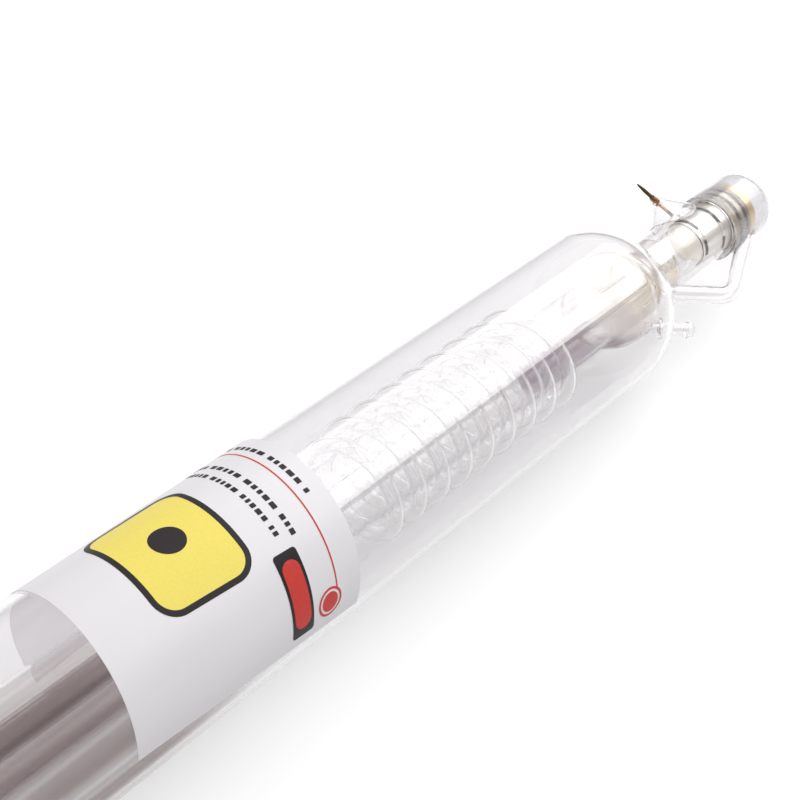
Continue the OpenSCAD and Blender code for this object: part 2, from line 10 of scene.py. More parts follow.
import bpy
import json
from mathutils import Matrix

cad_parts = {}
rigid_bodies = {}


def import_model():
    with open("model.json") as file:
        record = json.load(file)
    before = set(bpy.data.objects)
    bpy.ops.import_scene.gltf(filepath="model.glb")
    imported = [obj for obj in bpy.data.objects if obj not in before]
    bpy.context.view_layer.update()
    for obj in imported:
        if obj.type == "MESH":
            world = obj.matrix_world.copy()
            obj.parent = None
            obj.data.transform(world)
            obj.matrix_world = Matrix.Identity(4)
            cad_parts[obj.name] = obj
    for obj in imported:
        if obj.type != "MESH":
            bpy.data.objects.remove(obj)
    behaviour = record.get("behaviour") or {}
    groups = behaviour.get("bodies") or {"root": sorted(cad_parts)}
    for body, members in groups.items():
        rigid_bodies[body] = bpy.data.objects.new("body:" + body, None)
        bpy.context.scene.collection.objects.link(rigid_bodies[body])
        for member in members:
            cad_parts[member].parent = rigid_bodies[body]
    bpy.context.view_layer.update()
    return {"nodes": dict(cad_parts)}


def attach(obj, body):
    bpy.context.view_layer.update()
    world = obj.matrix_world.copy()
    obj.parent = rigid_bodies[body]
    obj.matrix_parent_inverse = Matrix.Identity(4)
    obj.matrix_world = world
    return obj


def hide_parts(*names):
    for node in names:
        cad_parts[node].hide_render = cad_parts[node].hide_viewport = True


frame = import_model()

# %% Blender and mathematics
import json
import math

import bpy
from mathutils import Matrix, Vector

print("Blender", bpy.app.version_string)

# %% [markdown]
# ## The camera
# The camera looks down on the mirror end, along and across the tube. It could be aimed with
# three angles, but the tube is long, and a small error in them would move its far end. Its
# direction is given as three vectors of one frame instead.

# %% Camera
def add_camera(stand, right, up, ahead, lens):
    """A camera at a place in metres, with a lens in millimetres for a sensor 36 mm wide."""
    camera = bpy.data.objects.new("camera", bpy.data.cameras.new("camera"))
    camera.data.sensor_width = 36
    camera.data.lens = lens
    camera.data.clip_start = 0.01
    facing = Matrix((right, up, [-v for v in ahead])).transposed().to_4x4()
    camera.matrix_world = Matrix.Translation(stand) @ facing
    bpy.context.scene.collection.objects.link(camera)
    bpy.context.scene.camera = camera
    return camera


camera = add_camera(stand=(-0.17217, -0.34356, 0.44965), right=(0.6408, -0.7678, 0.0),
                    up=(0.4461, 0.3723, 0.8139), ahead=(0.6249, 0.5215, -0.5810), lens=72.21)
print("camera at", [round(v, 3) for v in camera.location], "lens", camera.data.lens)

# %% [markdown]
# ## Sizes
# These are the sizes of the CAD source, in millimetres. Distances along the tube are measured
# outward from the centre of an end dome, so one profile serves both ends.

# %% Sizes
DOME_X = 380.5          # centre of each end dome, from the middle of the tube
AXIS_Z = 40.0           # height of the tube's axis
ENVELOPE_R, ENVELOPE_WALL = 40.0, 2.4
NECK_R, NECK_WALL = 15.75, 1.7
REAR_NECK, FRONT_NECK = 123.0, 123.3    # ends of the two necks
SEAM = 0.1              # gap between pieces that are fused or bonded on the real tube
REAR, FRONT = 1, -1     # the mirror end and the output end
print("envelope", 2 * ENVELOPE_R, "mm across, domes", 2 * DOME_X, "mm apart")

# %% [markdown]
# ## Placing
# Fittings leave the tube at a slant, all round it. Each could be made upright and then turned
# by its object, but a piece keeps its object at the origin here. So a point is given as a
# distance along the tube, a height above its axis and a distance across, in a plane that is
# turned round the axis, and one function turns it into metres in the shared frame.

# %% Placing points
def place(side, x, up, across=0.0, angle=90.0):
    """Metres of a point x outward from a dome's centre, in the plane at an angle round the axis."""
    c, s = math.cos(math.radians(angle)), math.sin(math.radians(angle))
    return Vector((side * (DOME_X + x), up * c - across * s, AXIS_Z + up * s + across * c)) / 1000


def arc(x, r, radius, start, end, steps):
    """Points (radius, x) on an arc, with its angle from +x toward +radius."""
    return [(r + radius * math.sin(math.radians(start + (end - start) * i / steps)),
             x + radius * math.cos(math.radians(start + (end - start) * i / steps)))
            for i in range(steps + 1)]


print("rear dome's centre at", [round(v, 4) for v in place(REAR, 0, 0)])

# %% [markdown]
# ## Meshes
# Blown, drawn and turned pieces are all round in section, so each mesh is a row of rings with
# faces between them. Modifiers could turn a profile too, but rings made here have exactly the
# points that are asked for, and the last ring closes onto the first, so the wall is solid.

# %% Making meshes
def add_mesh(name, points, faces, sharp=40.0):
    """A smooth mesh that keeps its edges where faces meet at more than an angle in degrees."""
    mesh = bpy.data.meshes.new(name)
    mesh.from_pydata(points, [], faces)
    mesh.validate()
    mesh.shade_smooth()
    mesh.set_sharp_from_angle(angle=math.radians(sharp))
    piece = bpy.data.objects.new(name, mesh)
    bpy.context.scene.collection.objects.link(piece)
    return piece


def ring_faces(rings, count):
    """Quads between rings of count points, and from the last to the first. A ring of one point
    is a pole."""
    starts = [0]
    for ring in rings:
        starts.append(starts[-1] + len(ring))
    faces = []
    for i in range(len(rings)):
        j = (i + 1) % len(rings)
        a, b = starts[i], starts[j]
        poles = (len(rings[i]) == 1, len(rings[j]) == 1)
        if all(poles):
            continue
        for k in range(count):
            n = (k + 1) % count
            if poles[0]:
                faces.append((a, b + n, b + k))
            elif poles[1]:
                faces.append((a + k, a + n, b))
            else:
                faces.append((a + k, a + n, b + n, b + k))
    return faces


def add_rings(name, rings, count, side=REAR, sharp=40.0):
    """A closed mesh over rings of points. The front is a mirror image, so its faces turn round."""
    faces = ring_faces(rings, count)
    if side == FRONT:
        faces = [face[::-1] for face in faces]
    return add_mesh(name, [p for ring in rings for p in ring], faces, sharp)


print("mesh makers ready")

# %% [markdown]
# ## Turning
# Glass is blown and pressed while it turns in a lathe, so a turned profile is the real shape.
# The profile is a closed loop of points, with the outside first and the bore after it, so the
# wall has its true thickness and bends light twice.

# %% Turning a profile
def turn(name, loop, steps, side=REAR, sharp=40.0):
    """Turns a closed loop of (radius, x) round the tube's axis."""
    rings = []
    for r, x in loop:
        if r < 1e-6:
            rings.append([place(side, x, 0)])
        else:
            rings.append([place(side, x, r, 0, 360 * k / steps) for k in range(steps)])
    return add_rings(name, rings, steps, side, sharp)


def turn_on(name, loop, foot, slant, angle, side, steps=64):
    """Turns a closed loop of (radius, height) round an axis that leaves the point foot."""
    along = (math.cos(math.radians(slant)), math.sin(math.radians(slant)))
    rings = []
    for r, h in loop:
        ring = []
        for k in range(1 if r < 1e-6 else steps):
            a = 2 * math.pi * k / steps
            x = foot[0] + along[0] * h - along[1] * r * math.cos(a)
            up = foot[1] + along[1] * h + along[0] * r * math.cos(a)
            across = r * math.sin(a)
            ring.append(place(side, x, up, across, angle))
        rings.append(ring)
    return add_rings(name, rings, steps, side)


def lip(r_out, r_in, x, steps=6):
    """A fire-polished end: half a circle from the outer to the inner radius of a tube."""
    half = (r_out - r_in) / 2
    return [(r_in + half + half * math.cos(math.pi * i / steps), x - half
             + half * math.sin(math.pi * i / steps)) for i in range(steps + 1)]


neck_lip = lip(NECK_R, NECK_R - NECK_WALL, REAR_NECK)
print("a neck's lip has", len(neck_lip), "points and ends at", round(max(x for _, x in neck_lip), 1))

# %% [markdown]
# ## Sweeping
# A bent glass tube keeps its round section along its path. A curve with a bevel would give the
# outside alone, so both walls are swept here. Each ring of the sweep stands square to the path,
# and it turns as little as it can from one ring to the next.

# %% Sweeping a tube
def sweep(name, path, radius, wall, sides):
    """A hollow tube along a list of points in metres; its radius and wall are in mm."""
    last = len(path) - 1
    normal = (path[1] - path[0]).orthogonal()
    outside, inside = [], []
    for i, point in enumerate(path):
        ahead = (path[min(i + 1, last)] - path[max(i - 1, 0)]).normalized()
        normal = (normal - ahead * normal.dot(ahead)).normalized()
        across = ahead.cross(normal)
        for r, rings in ((radius, outside), (radius - wall, inside)):
            rings.append([point + r / 1000 * (normal * math.cos(2 * math.pi * k / sides)
                                              + across * math.sin(2 * math.pi * k / sides))
                          for k in range(sides)])
    return add_rings(name, outside + inside[::-1], sides)


print("sweep ready")

# %% [markdown]
# ## Finishes
# Each finish is a Principled shader, because the same numbers then give the same surface in
# other programs. Colours are written as hex values of the screen, and one function turns them
# to the linear values that the shader works with. Patterns are noise that is stretched to a
# real size, so they need no picture and no unwrapping, and they stay sharp close up.

# %% Colours and nodes
def linear(code):
    """An sRGB hex colour as a linear RGBA value."""
    parts = [int(code[i:i + 2], 16) / 255 for i in (1, 3, 5)]
    return [p / 12.92 if p <= 0.04045 else ((p + 0.055) / 1.055) ** 2.4 for p in parts] + [1.0]


def add_node(tree, kind, settings=None, inputs=None):
    """Adds a node. An input's value is a number, a colour or another node's socket."""
    node = tree.nodes.new(kind)
    for key, value in (settings or {}).items():
        setattr(node, key, value)
    for key, value in (inputs or {}).items():
        if isinstance(value, bpy.types.NodeSocket):
            tree.links.new(value, node.inputs[key])
        else:
            node.inputs[key].default_value = value
    return node


print("middle grey is", round(linear("#808080")[0], 3), "in linear light")

# %% Materials and their patterns
def add_finish(name, **inputs):
    """A material with one Principled shader; returns the material, its nodes and the shader."""
    material = bpy.data.materials.new(name)
    material.use_nodes = True
    tree = material.node_tree
    tree.nodes.clear()
    shader = add_node(tree, "ShaderNodeBsdfPrincipled", inputs=inputs)
    out = add_node(tree, "ShaderNodeOutputMaterial")
    tree.links.new(shader.outputs[0], out.inputs[0])
    return material, tree, shader


def stretched(tree, scale):
    """Place on the object in metres, times a scale for each axis. Noise on it has about one spot
    for each whole step, so a scale of 100 makes spots of 10 mm."""
    where = add_node(tree, "ShaderNodeTexCoord")
    return add_node(tree, "ShaderNodeMapping", inputs={
        "Vector": where.outputs["Object"], "Scale": scale}).outputs[0]


print("finish makers ready")

# %% [markdown]
# ## Borosilicate glass
# The envelope, necks and fittings are borosilicate tubing, with an index of 1.47. Drawn tubing
# has faint lines along its length where it left the die, about 3 mm apart and far less than a
# hundredth of a millimetre deep. They break the edge of a reflection a little. The envelope
# takes a tenth of the light in each wall, so the tube stands out from a white ground, and the
# thinner tubing inside it is nearly clear. Volume absorption could dim it too, but it renders
# slowly through so many walls, so the tint is in the surface.

# %% Borosilicate glass
GLASS_INDEX = 1.47
LINE_STRETCH = 40       # a drawn line is this many times longer than it is wide


def borosilicate(name, tint, roughness=0.0, line_mm=3.0, depth_mm=0.004):
    """Clear glass with drawn lines; returns the material, its nodes and the shader."""
    material, tree, shader = add_finish(name, **{
        "Base Color": linear(tint), "Roughness": roughness, "IOR": GLASS_INDEX,
        "Transmission Weight": 1.0})
    draw = add_node(tree, "ShaderNodeTexNoise", inputs={
        "Vector": stretched(tree, (1000 / (line_mm * LINE_STRETCH), 1000 / line_mm, 1000 / line_mm)),
        "Scale": 1.0, "Detail": 1.0})
    bump = add_node(tree, "ShaderNodeBump", inputs={
        "Height": draw.outputs[0], "Distance": depth_mm / 1000})
    tree.links.new(bump.outputs[0], shader.inputs["Normal"])
    return material, tree, shader


# Flame-worked fittings have deeper waves than drawn tubing, so their reflections waver more.
# The coil's tubing is clearer, so its turns show as bright lines and not as a dark screen.
fitting_glass = borosilicate("flame_worked_borosilicate", "#f6f5f6", line_mm=4.0, depth_mm=0.01)[0]
coil_glass = borosilicate("coiled_borosilicate_tubing", "#fcfcfc", line_mm=2.0, depth_mm=0.006)[0]
print("glass made:", fitting_glass.name, coil_glass.name)

# %% [markdown]
# ## Glass with brown streaks and painted shade
# Brown streaks lie along the glass in long lines, thickest toward the front. Noise that is
# stretched along the tube gives the streaks, 4 to 9 mm wide, and limits along the tube give their
# spread. Envelope, jacket and bore each carry some of them, so their tone deepens where the eye
# looks through all three. The mirror end has two small marks of its own: a mauve patch low on the
# jacket, which is painted shade on its underside, and a pale straw stain on the bulb, where the
# flame closed it.

# %% Where a mark lies
def within(tree, share, place_along, *limits):
    """A share, faded along an axis. A limit is where it starts and where it is full, in mm."""
    for start, full in limits:
        fade = add_node(tree, "ShaderNodeMapRange", {"interpolation_type": "SMOOTHSTEP"}, {
            "Value": place_along, "From Min": start / 1000, "From Max": full / 1000})
        share = add_node(tree, "ShaderNodeMath", {"operation": "MULTIPLY"}, {
            0: share, 1: fade.outputs[0]}).outputs[0]
    return share


def marked_and_shaded_borosilicate(name, clear, stains_and_shade):
    """Glass with marks: brown streaks, a straw stain and a patch of painted shade. Each is a
    colour, the width of its streaks, and its limits along, across and up, in millimetres. A limit
    is a pair, where the mark starts and where it is full, and None leaves it open."""
    material, tree, shader = borosilicate(name, clear)
    where = add_node(tree, "ShaderNodeTexCoord")
    spot = add_node(tree, "ShaderNodeSeparateXYZ", inputs={0: where.outputs["Object"]})
    colour = linear(clear)
    for code, streak_mm, *limits in stains_and_shade:
        # A scale of 2 along the tube makes streaks half a metre long.
        streaks = add_node(tree, "ShaderNodeTexNoise", inputs={
            "Vector": stretched(tree, (2.0, 1000 / streak_mm, 1000 / streak_mm)),
            "Scale": 1.0, "Detail": 2.0, "Roughness": 0.6})
        # Noise lies mostly from 0.3 to 0.7, so this range gives full streaks and a few gaps.
        share = add_node(tree, "ShaderNodeMapRange", inputs={
            "Value": streaks.outputs[0], "From Min": 0.3, "From Max": 0.6}).outputs[0]
        for axis, limit in enumerate(limits):
            if limit:
                share = within(tree, share, spot.outputs[axis], limit)
        colour = add_node(tree, "ShaderNodeMix", {"data_type": "RGBA"}, {
            0: share, 6: colour, 7: linear(code)}).outputs[2]
    tree.links.new(colour, shader.inputs["Base Color"])
    return material


print("stains ready")

# %% Streaked glass
envelope_glass = marked_and_shaded_borosilicate("drawn_borosilicate_tubing", "#f5f4f5", [
    ("#a99c9b", 9.0, (130, 60), (-8, -30), None)])      # brown streaks, on the camera's side alone
jacket_glass = marked_and_shaded_borosilicate("jacket_tubing_with_streaks_and_shade", "#fdfdfd", [
    ("#ddd3d2", 6.0, (130, 50), (12, -6), None),        # brown streaks, round a little further
    # The mauve patch low on the jacket is painted shade on its underside.
    ("#8d7284", 12.0, (318, 332), None, (38, 28)),      # mauve, low on the jacket
    ("#f7f0e2", 12.0, (392, 402), None, None)])         # straw, on the bulb
bore_glass = marked_and_shaded_borosilicate("bore_tubing_with_streaks", "#fdfdfd", [
    ("#c0b2b0", 4.0, (140, 40), None, None)])           # brown streaks, all round the bore
print("filmed glass made:", envelope_glass.name, jacket_glass.name, bore_glass.name)

# %% [markdown]
# ## The envelope and its necks
# The envelope, its two domes and both necks are one piece of glass, because the glassblower
# closes each dome onto its neck in the flame. A dome is a half sphere that flows into the neck
# through a fillet. It could be three meshes, but glass shows every wall inside it, so one
# closed profile is turned and stands for all three nodes.

# %% Envelope
DOME_FILLET = 8.0


def dome_path(dome_r, tube_r, fillet, steps=28):
    """Half a sphere round the dome's centre, and the fillet that leads it onto a tube."""
    centre_r = tube_r + fillet
    centre_x = math.sqrt((dome_r + fillet) ** 2 - centre_r ** 2)
    touch = math.degrees(math.atan2(centre_r, centre_x))
    return (arc(0, 0, dome_r, 90, touch, steps)
            + arc(centre_x, centre_r, fillet, touch + 180, 270, steps // 2)[1:])


def in_front(points):
    """The same profile at the front end, with x still measured from the rear dome's centre."""
    return [(r, -2 * DOME_X - x) for r, x in points]


def hollow_loop(outer, inner, rear_lip=(), front_lip=()):
    """One closed loop of a tube with two ends: its outside, the rear lip, its bore, the front."""
    outside = in_front(reversed([*outer, *front_lip[:1]])) + [*outer, *rear_lip]
    bore = inner[::-1] + in_front(inner)
    return outside + bore + in_front(reversed(front_lip[1:]))


loop = hollow_loop(dome_path(ENVELOPE_R, NECK_R, DOME_FILLET),
                   dome_path(ENVELOPE_R - ENVELOPE_WALL, NECK_R - NECK_WALL,
                             DOME_FILLET + NECK_WALL),
                   neck_lip, lip(NECK_R, NECK_R - NECK_WALL, FRONT_NECK))
glass_body = turn("glass_body", loop, steps=224)
glass_body.data.materials.append(envelope_glass)
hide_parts("outer_envelope", "rear_neck", "front_neck")
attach(glass_body, "root")
print("glass body:", len(glass_body.data.vertices), "points")

# %% [markdown]
# ## The water jacket
# Cooling water runs round the discharge tube in this inner jacket. It swells into a bulb inside
# each dome, where the hose nipples enter, and its collar slides into the neck and closes on the
# discharge tube. A sculpted bulb would pinch the glass where it meets the tube, so the profile
# is three arcs that run into each other without a corner.

# %% Water jacket
JACKET_R, JACKET_WALL, BULB_R, BULB_X = 16.5, 1.5, 24.0, 15.0
JACKET_COLLAR_R, JACKET_END, BORE_R, BORE_WALL = 13.85, 59.0, 6.0, 1.6
BULB_FILLET, COLLAR_FILLET, COLLAR_ROUND = 10.0, 3.0, 4.0


def bulb_path(bulb_r, in_r, in_fillet, out_r, out_fillet):
    """A bulb between the jacket's tube, of radius in_r, and its collar, of radius out_r."""
    in_x = math.sqrt((bulb_r + in_fillet) ** 2 - (in_r + in_fillet) ** 2)
    out_x = math.sqrt((bulb_r + out_fillet) ** 2 - (out_r + out_fillet) ** 2)
    in_touch = math.degrees(math.atan2(in_r + in_fillet, in_x))
    out_touch = math.degrees(math.atan2(out_r + out_fillet, out_x))
    return (arc(BULB_X - in_x, in_r + in_fillet, in_fillet, 270, 360 - in_touch, 14)
            + arc(BULB_X, 0, bulb_r, 180 - in_touch, out_touch, 40)[1:]
            + arc(BULB_X + out_x, out_r + out_fillet, out_fillet, 180 + out_touch, 270, 10)[1:])


def jacket_path(depth):
    """The jacket from its tube to its collar's end, at a depth below its outer face."""
    bulb = bulb_path(BULB_R - depth, JACKET_R - depth, BULB_FILLET + depth,
                     JACKET_COLLAR_R - depth, COLLAR_FILLET + depth)
    rounded = arc(JACKET_END - COLLAR_ROUND, JACKET_COLLAR_R - COLLAR_ROUND,
                  COLLAR_ROUND - depth, 90, 0, 8)
    return bulb + rounded + [(BORE_R + SEAM, JACKET_END - depth)]


water_jacket = turn("water_jacket_tube", hollow_loop(jacket_path(0), jacket_path(JACKET_WALL)),
                    steps=160)
water_jacket.data.materials.append(jacket_glass)
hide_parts("water_jacket")
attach(water_jacket, "root")
print("water jacket:", len(water_jacket.data.vertices), "points")

# %% [markdown]
# ## The discharge tube
# The discharge burns in this thin tube. It flares inside each neck, so that the electric field
# spreads into the electrode sleeve and not onto the glass. A flare that is blown in the flame
# has no corner at either end, so it follows half a wave of a cosine.

# %% Discharge tube
MOUTH_R, MOUTH_END = 10.3, 82.0
FLARE_START, FLARE_LENGTH = 62.0, 9.0


def flare_path(narrow, wide, steps=16):
    """Widens smoothly from one radius to another, toward the tube's mouth."""
    return [(narrow + (wide - narrow) * (1 - math.cos(math.pi * i / steps)) / 2,
             FLARE_START + FLARE_LENGTH * i / steps) for i in range(steps + 1)]


mouth_lip = lip(MOUTH_R, MOUTH_R - BORE_WALL, MOUTH_END)
loop = hollow_loop(flare_path(BORE_R, MOUTH_R), flare_path(BORE_R - BORE_WALL, MOUTH_R - BORE_WALL),
                   mouth_lip, mouth_lip)
discharge_tube = turn("discharge_tube_glass", loop, steps=96)
discharge_tube.data.materials.append(bore_glass)
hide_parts("discharge_tube")
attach(discharge_tube, "root")
print("discharge tube:", len(discharge_tube.data.vertices), "points")

# %% [markdown]
# ## The gas return coil
# Gas is pumped along the bore by the discharge itself, so a return path is needed. It is wound
# as a coil, because a straight tube would let the discharge take the short way. A screw
# modifier would keep one radius, so the path is worked out point by point: a helix that comes
# down onto the jacket at both ends.

# %% Gas return coil
COIL_TUBE_R, COIL_WALL, COIL_R, COIL_PITCH, COIL_TURNS, COIL_INSET = 3.5, 1.0, 23.5, 15.0, 9, 45.0
COIL_LEAD = 0.4         # share of a turn in which each end comes down
STEPS_PER_TURN = 56


def coil_point(turns):
    """A point of the coil, so many turns from the end that is further from the dome."""
    rest_r = JACKET_R + COIL_TUBE_R + 2 * SEAM
    share = min(1.0, min(turns, COIL_TURNS - turns) / COIL_LEAD)
    radius = rest_r + (COIL_R - rest_r) * (1 - math.cos(math.pi * share)) / 2
    return place(REAR, -COIL_INSET - COIL_PITCH * (COIL_TURNS - turns), radius, 0, 360 * turns)


path = [coil_point(i / STEPS_PER_TURN) for i in range(COIL_TURNS * STEPS_PER_TURN + 1)]
return_coil = sweep("return_coil_glass", path, COIL_TUBE_R, COIL_WALL, sides=18)
return_coil.data.materials.append(coil_glass)
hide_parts("gas_return_coil")
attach(return_coil, "root")
print("coil:", COIL_TURNS, "turns,", len(return_coil.data.vertices), "points")

# %% [markdown]
# ## Metal finishes
# The electrode sleeves are nickel sheet, rolled and spun: bright, with fine lines round them,
# and their beads are painted dark, which is painted shade. The mirror is copper under a pale
# coating of gold, and sits in a ring of turned brass, both satin; the ring's grooves carry the
# same painted shade. The output end is turned aluminium, which is satin grey. Anisotropy could
# draw the shine of the lines, but other programs lose it, so they are noise: fine along the
# tube and long round it.

# %% Spun and turned metal
SLEEVE_START, SLEEVE_BEADS = 82.3, (3.0, 19.0)
SEAT_LENGTH = 12.0
SEAT_START = REAR_NECK - SEAT_LENGTH
SEAT_GROOVES = (SEAT_START + SEAT_LENGTH / 4, SEAT_START + SEAT_LENGTH * 3 / 4)
SHADE_EDGE, SHADE_FULL = 1.7, 1.0     # half widths of the painted shade in a groove


def spun_metal(name, light, dark, roughness, line_mm, depth_mm, shaded_grooves=()):
    """A metal with lines round the tube's axis, line_mm apart, and painted shade in its grooves."""
    material, tree, shader = add_finish(name, Metallic=1.0, Roughness=roughness)
    # A scale of 6 round the axis makes each line 170 mm long, so it goes all the way round.
    lines = add_node(tree, "ShaderNodeTexNoise", inputs={
        "Vector": stretched(tree, (1000 / line_mm, 6.0, 6.0)), "Scale": 1.0, "Detail": 2.0})
    colour = add_node(tree, "ShaderNodeMix", {"data_type": "RGBA"}, {
        0: lines.outputs[0], 6: linear(light), 7: linear(dark)}).outputs[2]
    # The dark colour in each groove is painted shade.
    if shaded_grooves:
        where = add_node(tree, "ShaderNodeTexCoord")
        spot = add_node(tree, "ShaderNodeSeparateXYZ", inputs={0: where.outputs["Object"]})
        # The painted shade is broken into patches about 9 mm long.
        patchy = add_node(tree, "ShaderNodeTexNoise", inputs={
            "Vector": stretched(tree, (20.0, 110.0, 110.0)), "Scale": 1.0, "Detail": 1.0})
        broken = add_node(tree, "ShaderNodeMapRange", inputs={
            "Value": patchy.outputs[0], "From Min": 0.4, "From Max": 0.46})
        for x in shaded_grooves:
            groove = within(tree, broken.outputs[0], spot.outputs[0],
                            (x - SHADE_EDGE, x - SHADE_FULL), (x + SHADE_EDGE, x + SHADE_FULL))
            colour = add_node(tree, "ShaderNodeMix", {"data_type": "RGBA"}, {
                0: groove, 6: colour, 7: linear("#2e2a26")}).outputs[2]
    tree.links.new(colour, shader.inputs["Base Color"])
    bump = add_node(tree, "ShaderNodeBump", inputs={
        "Height": lines.outputs[0], "Distance": depth_mm / 1000})
    tree.links.new(bump.outputs[0], shader.inputs["Normal"])
    return material


# The dark marks in the sleeve's beads and the seat's grooves are painted shade.
spun_nickel = spun_metal(
    "spun_nickel_sheet", "#fdfaf5", "#eee8de", roughness=0.42, line_mm=1.2, depth_mm=0.01,
    shaded_grooves=[DOME_X + SLEEVE_START + bead for bead in SLEEVE_BEADS])
turned_brass = spun_metal(
    "turned_brass", "#fbf2da", "#e8d7ac", roughness=0.5, line_mm=0.8, depth_mm=0.01,
    shaded_grooves=[DOME_X + groove for groove in SEAT_GROOVES])
gold_coating = spun_metal(
    "gold_coated_copper", "#f5e2b8", "#e6cb92", roughness=0.3, line_mm=0.6, depth_mm=0.004)
turned_aluminium = spun_metal(
    "turned_aluminium", "#c9cacb", "#9a9b9d", roughness=0.3, line_mm=0.5, depth_mm=0.01)
print("grooves at", SEAT_GROOVES, "mm from the dome's centre")

# %% [markdown]
# ## Tungsten and frosted nickel
# The pins are tungsten that was oxidised in the flame when it was sealed in, which leaves a
# dark body with rust bands, whose colour follows the heat. The bright orange band across the
# middle of each pin is a painted highlight. A colour ramp over the height of the metal gives
# the bands in order, and a little noise makes them wander.
# Inside the sleeves the discharge has frosted the nickel, so it looks nearly like paint.

# %% Tungsten and frosted nickel
BAND_START, BAND_END = 50.0, 67.0     # heights above the ground, in millimetres
BAND_WANDER, OXIDE_GRAIN = 4.0, 0.03   # how far a band strays, and how deep the grain is
FROST_DEPTH = 0.02


def tinted_and_highlighted_tungsten():
    """Bands of colour along the pin, from the neck's height up: dark and rust bands of oxidised
    metal, and a painted orange highlight across the middle.
    """
    material, tree, shader = add_finish("tinted_and_highlighted_tungsten", Metallic=1.0, Roughness=0.42)
    where = add_node(tree, "ShaderNodeTexCoord")
    split = add_node(tree, "ShaderNodeSeparateXYZ", inputs={0: where.outputs["Object"]})
    # Grains are 1.4 mm here, which is coarser than real, so that they show.
    grain = add_node(tree, "ShaderNodeTexNoise", inputs={
        "Vector": where.outputs["Object"], "Scale": 700.0, "Detail": 2.0})
    wander = add_node(tree, "ShaderNodeMath", {"operation": "MULTIPLY_ADD"}, {
        0: grain.outputs[0], 1: BAND_WANDER / 1000, 2: split.outputs[2]})
    height = add_node(tree, "ShaderNodeMapRange", inputs={
        "Value": wander.outputs[0], "From Min": BAND_START / 1000, "From Max": BAND_END / 1000})
    band_colours = add_node(tree, "ShaderNodeValToRGB", inputs={0: height.outputs[0]})
    # The bright orange stop at 0.42 is a painted highlight; the other stops are the metal's tint.
    stops = [(0.0, "#5a4c42"), (0.25, "#6b4426"), (0.42, "#e09a48"), (0.56, "#a0622c"),
             (0.7, "#5a4a34"), (1.0, "#3a362f")]
    while len(band_colours.color_ramp.elements) < len(stops):
        band_colours.color_ramp.elements.new(0.5)
    for element, (spot, code) in zip(band_colours.color_ramp.elements, stops):
        element.position = spot
        element.color = linear(code)
    tree.links.new(band_colours.outputs[0], shader.inputs["Base Color"])
    bump = add_node(tree, "ShaderNodeBump", inputs={
        "Height": grain.outputs[0], "Distance": OXIDE_GRAIN / 1000})
    tree.links.new(bump.outputs[0], shader.inputs["Normal"])
    return material


def matt_nickel():
    """Nickel that the discharge has frosted pale and matt, in patches 17 mm long and 8 mm wide.
    Its glow stands for the light that comes in through the glass of the neck."""
    material, tree, shader = add_finish("matt_nickel_inside", **{
        "Metallic": 0.3, "Roughness": 0.75, "Emission Strength": 0.26})
    patches = add_node(tree, "ShaderNodeTexNoise", inputs={
        "Vector": stretched(tree, (60.0, 120.0, 120.0)), "Scale": 1.0, "Detail": 2.0})
    colour = add_node(tree, "ShaderNodeMix", {"data_type": "RGBA"}, {
        0: patches.outputs[0], 6: linear("#fbf9f5"), 7: linear("#efece5")})
    tree.links.new(colour.outputs[2], shader.inputs["Base Color"])
    tree.links.new(colour.outputs[2], shader.inputs["Emission Color"])
    bump = add_node(tree, "ShaderNodeBump", inputs={
        "Height": patches.outputs[0], "Distance": FROST_DEPTH / 1000})
    tree.links.new(bump.outputs[0], shader.inputs["Normal"])
    return material


frosted_nickel = matt_nickel()
tinted_tungsten_with_highlight = tinted_and_highlighted_tungsten()
print("metals made:", frosted_nickel.name, tinted_tungsten_with_highlight.name)

# %% [markdown]
# ## Electrodes
# Each sleeve is a short tube of nickel sheet with two beads rolled into it for stiffness. A
# bump would not show on its outline, so the beads are in the profile. The bright metal is
# outside and the frosted metal inside, and each face takes the one for the way it looks.

# %% Electrode sleeves
SLEEVE_R, SLEEVE_WALL = 11.0, 0.8
BEAD_DEPTH, BEAD_WIDTH = 0.6, 0.84
POINTS_PER_MM = 5


def sleeve_loop(length, beads):
    """The sheet's outside and inside, both pressed in at the beads."""
    outside, inside = [], []
    for i in range(int(length * POINTS_PER_MM) + 1):
        x = i / POINTS_PER_MM
        dip = sum(BEAD_DEPTH * math.exp(-((x - spot) / BEAD_WIDTH) ** 2) for spot in beads)
        outside.append((SLEEVE_R - dip, SLEEVE_START + x))
        inside.append((SLEEVE_R - SLEEVE_WALL - dip, SLEEVE_START + x))
    return outside + inside[::-1]


for name, node, side, length, beads in (
        ("anode_sleeve_nickel", "anode_sleeve", REAR, 26.0, SLEEVE_BEADS),
        ("cathode_sleeve_nickel", "cathode_sleeve", FRONT, 31.3, (3.0, 28.3))):
    sleeve = turn(name, sleeve_loop(length, beads), steps=96, side=side)
    sleeve.data.materials.append(spun_nickel)
    sleeve.data.materials.append(frosted_nickel)
    for face in sleeve.data.polygons:
        outward = Vector((0, face.center.y, face.center.z - AXIS_Z / 1000))
        face.material_index = int(face.normal.dot(outward) < -SLEEVE_R / 2000)
    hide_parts(node)
    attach(sleeve, "root")
    print(name, "length", length, "mm")

# %% [markdown]
# ## Electrode pins
# A pin is a tungsten wire that carries the current from outside to the sleeve, and it is ground
# to a blunt point. A cylinder would end flat, so the wire's profile is turned with its taper.

# %% Electrode pins
PIN_ANGLE, PIN_SLANT = 40.0, 107.5
PIN_FOOT, PIN_LENGTH, PIN_R = (91.8, 11.4007), 29.043, 1.0
POINT_START, POINT_DEPTH = 0.8, 0.62    # shares of the length and of the radius

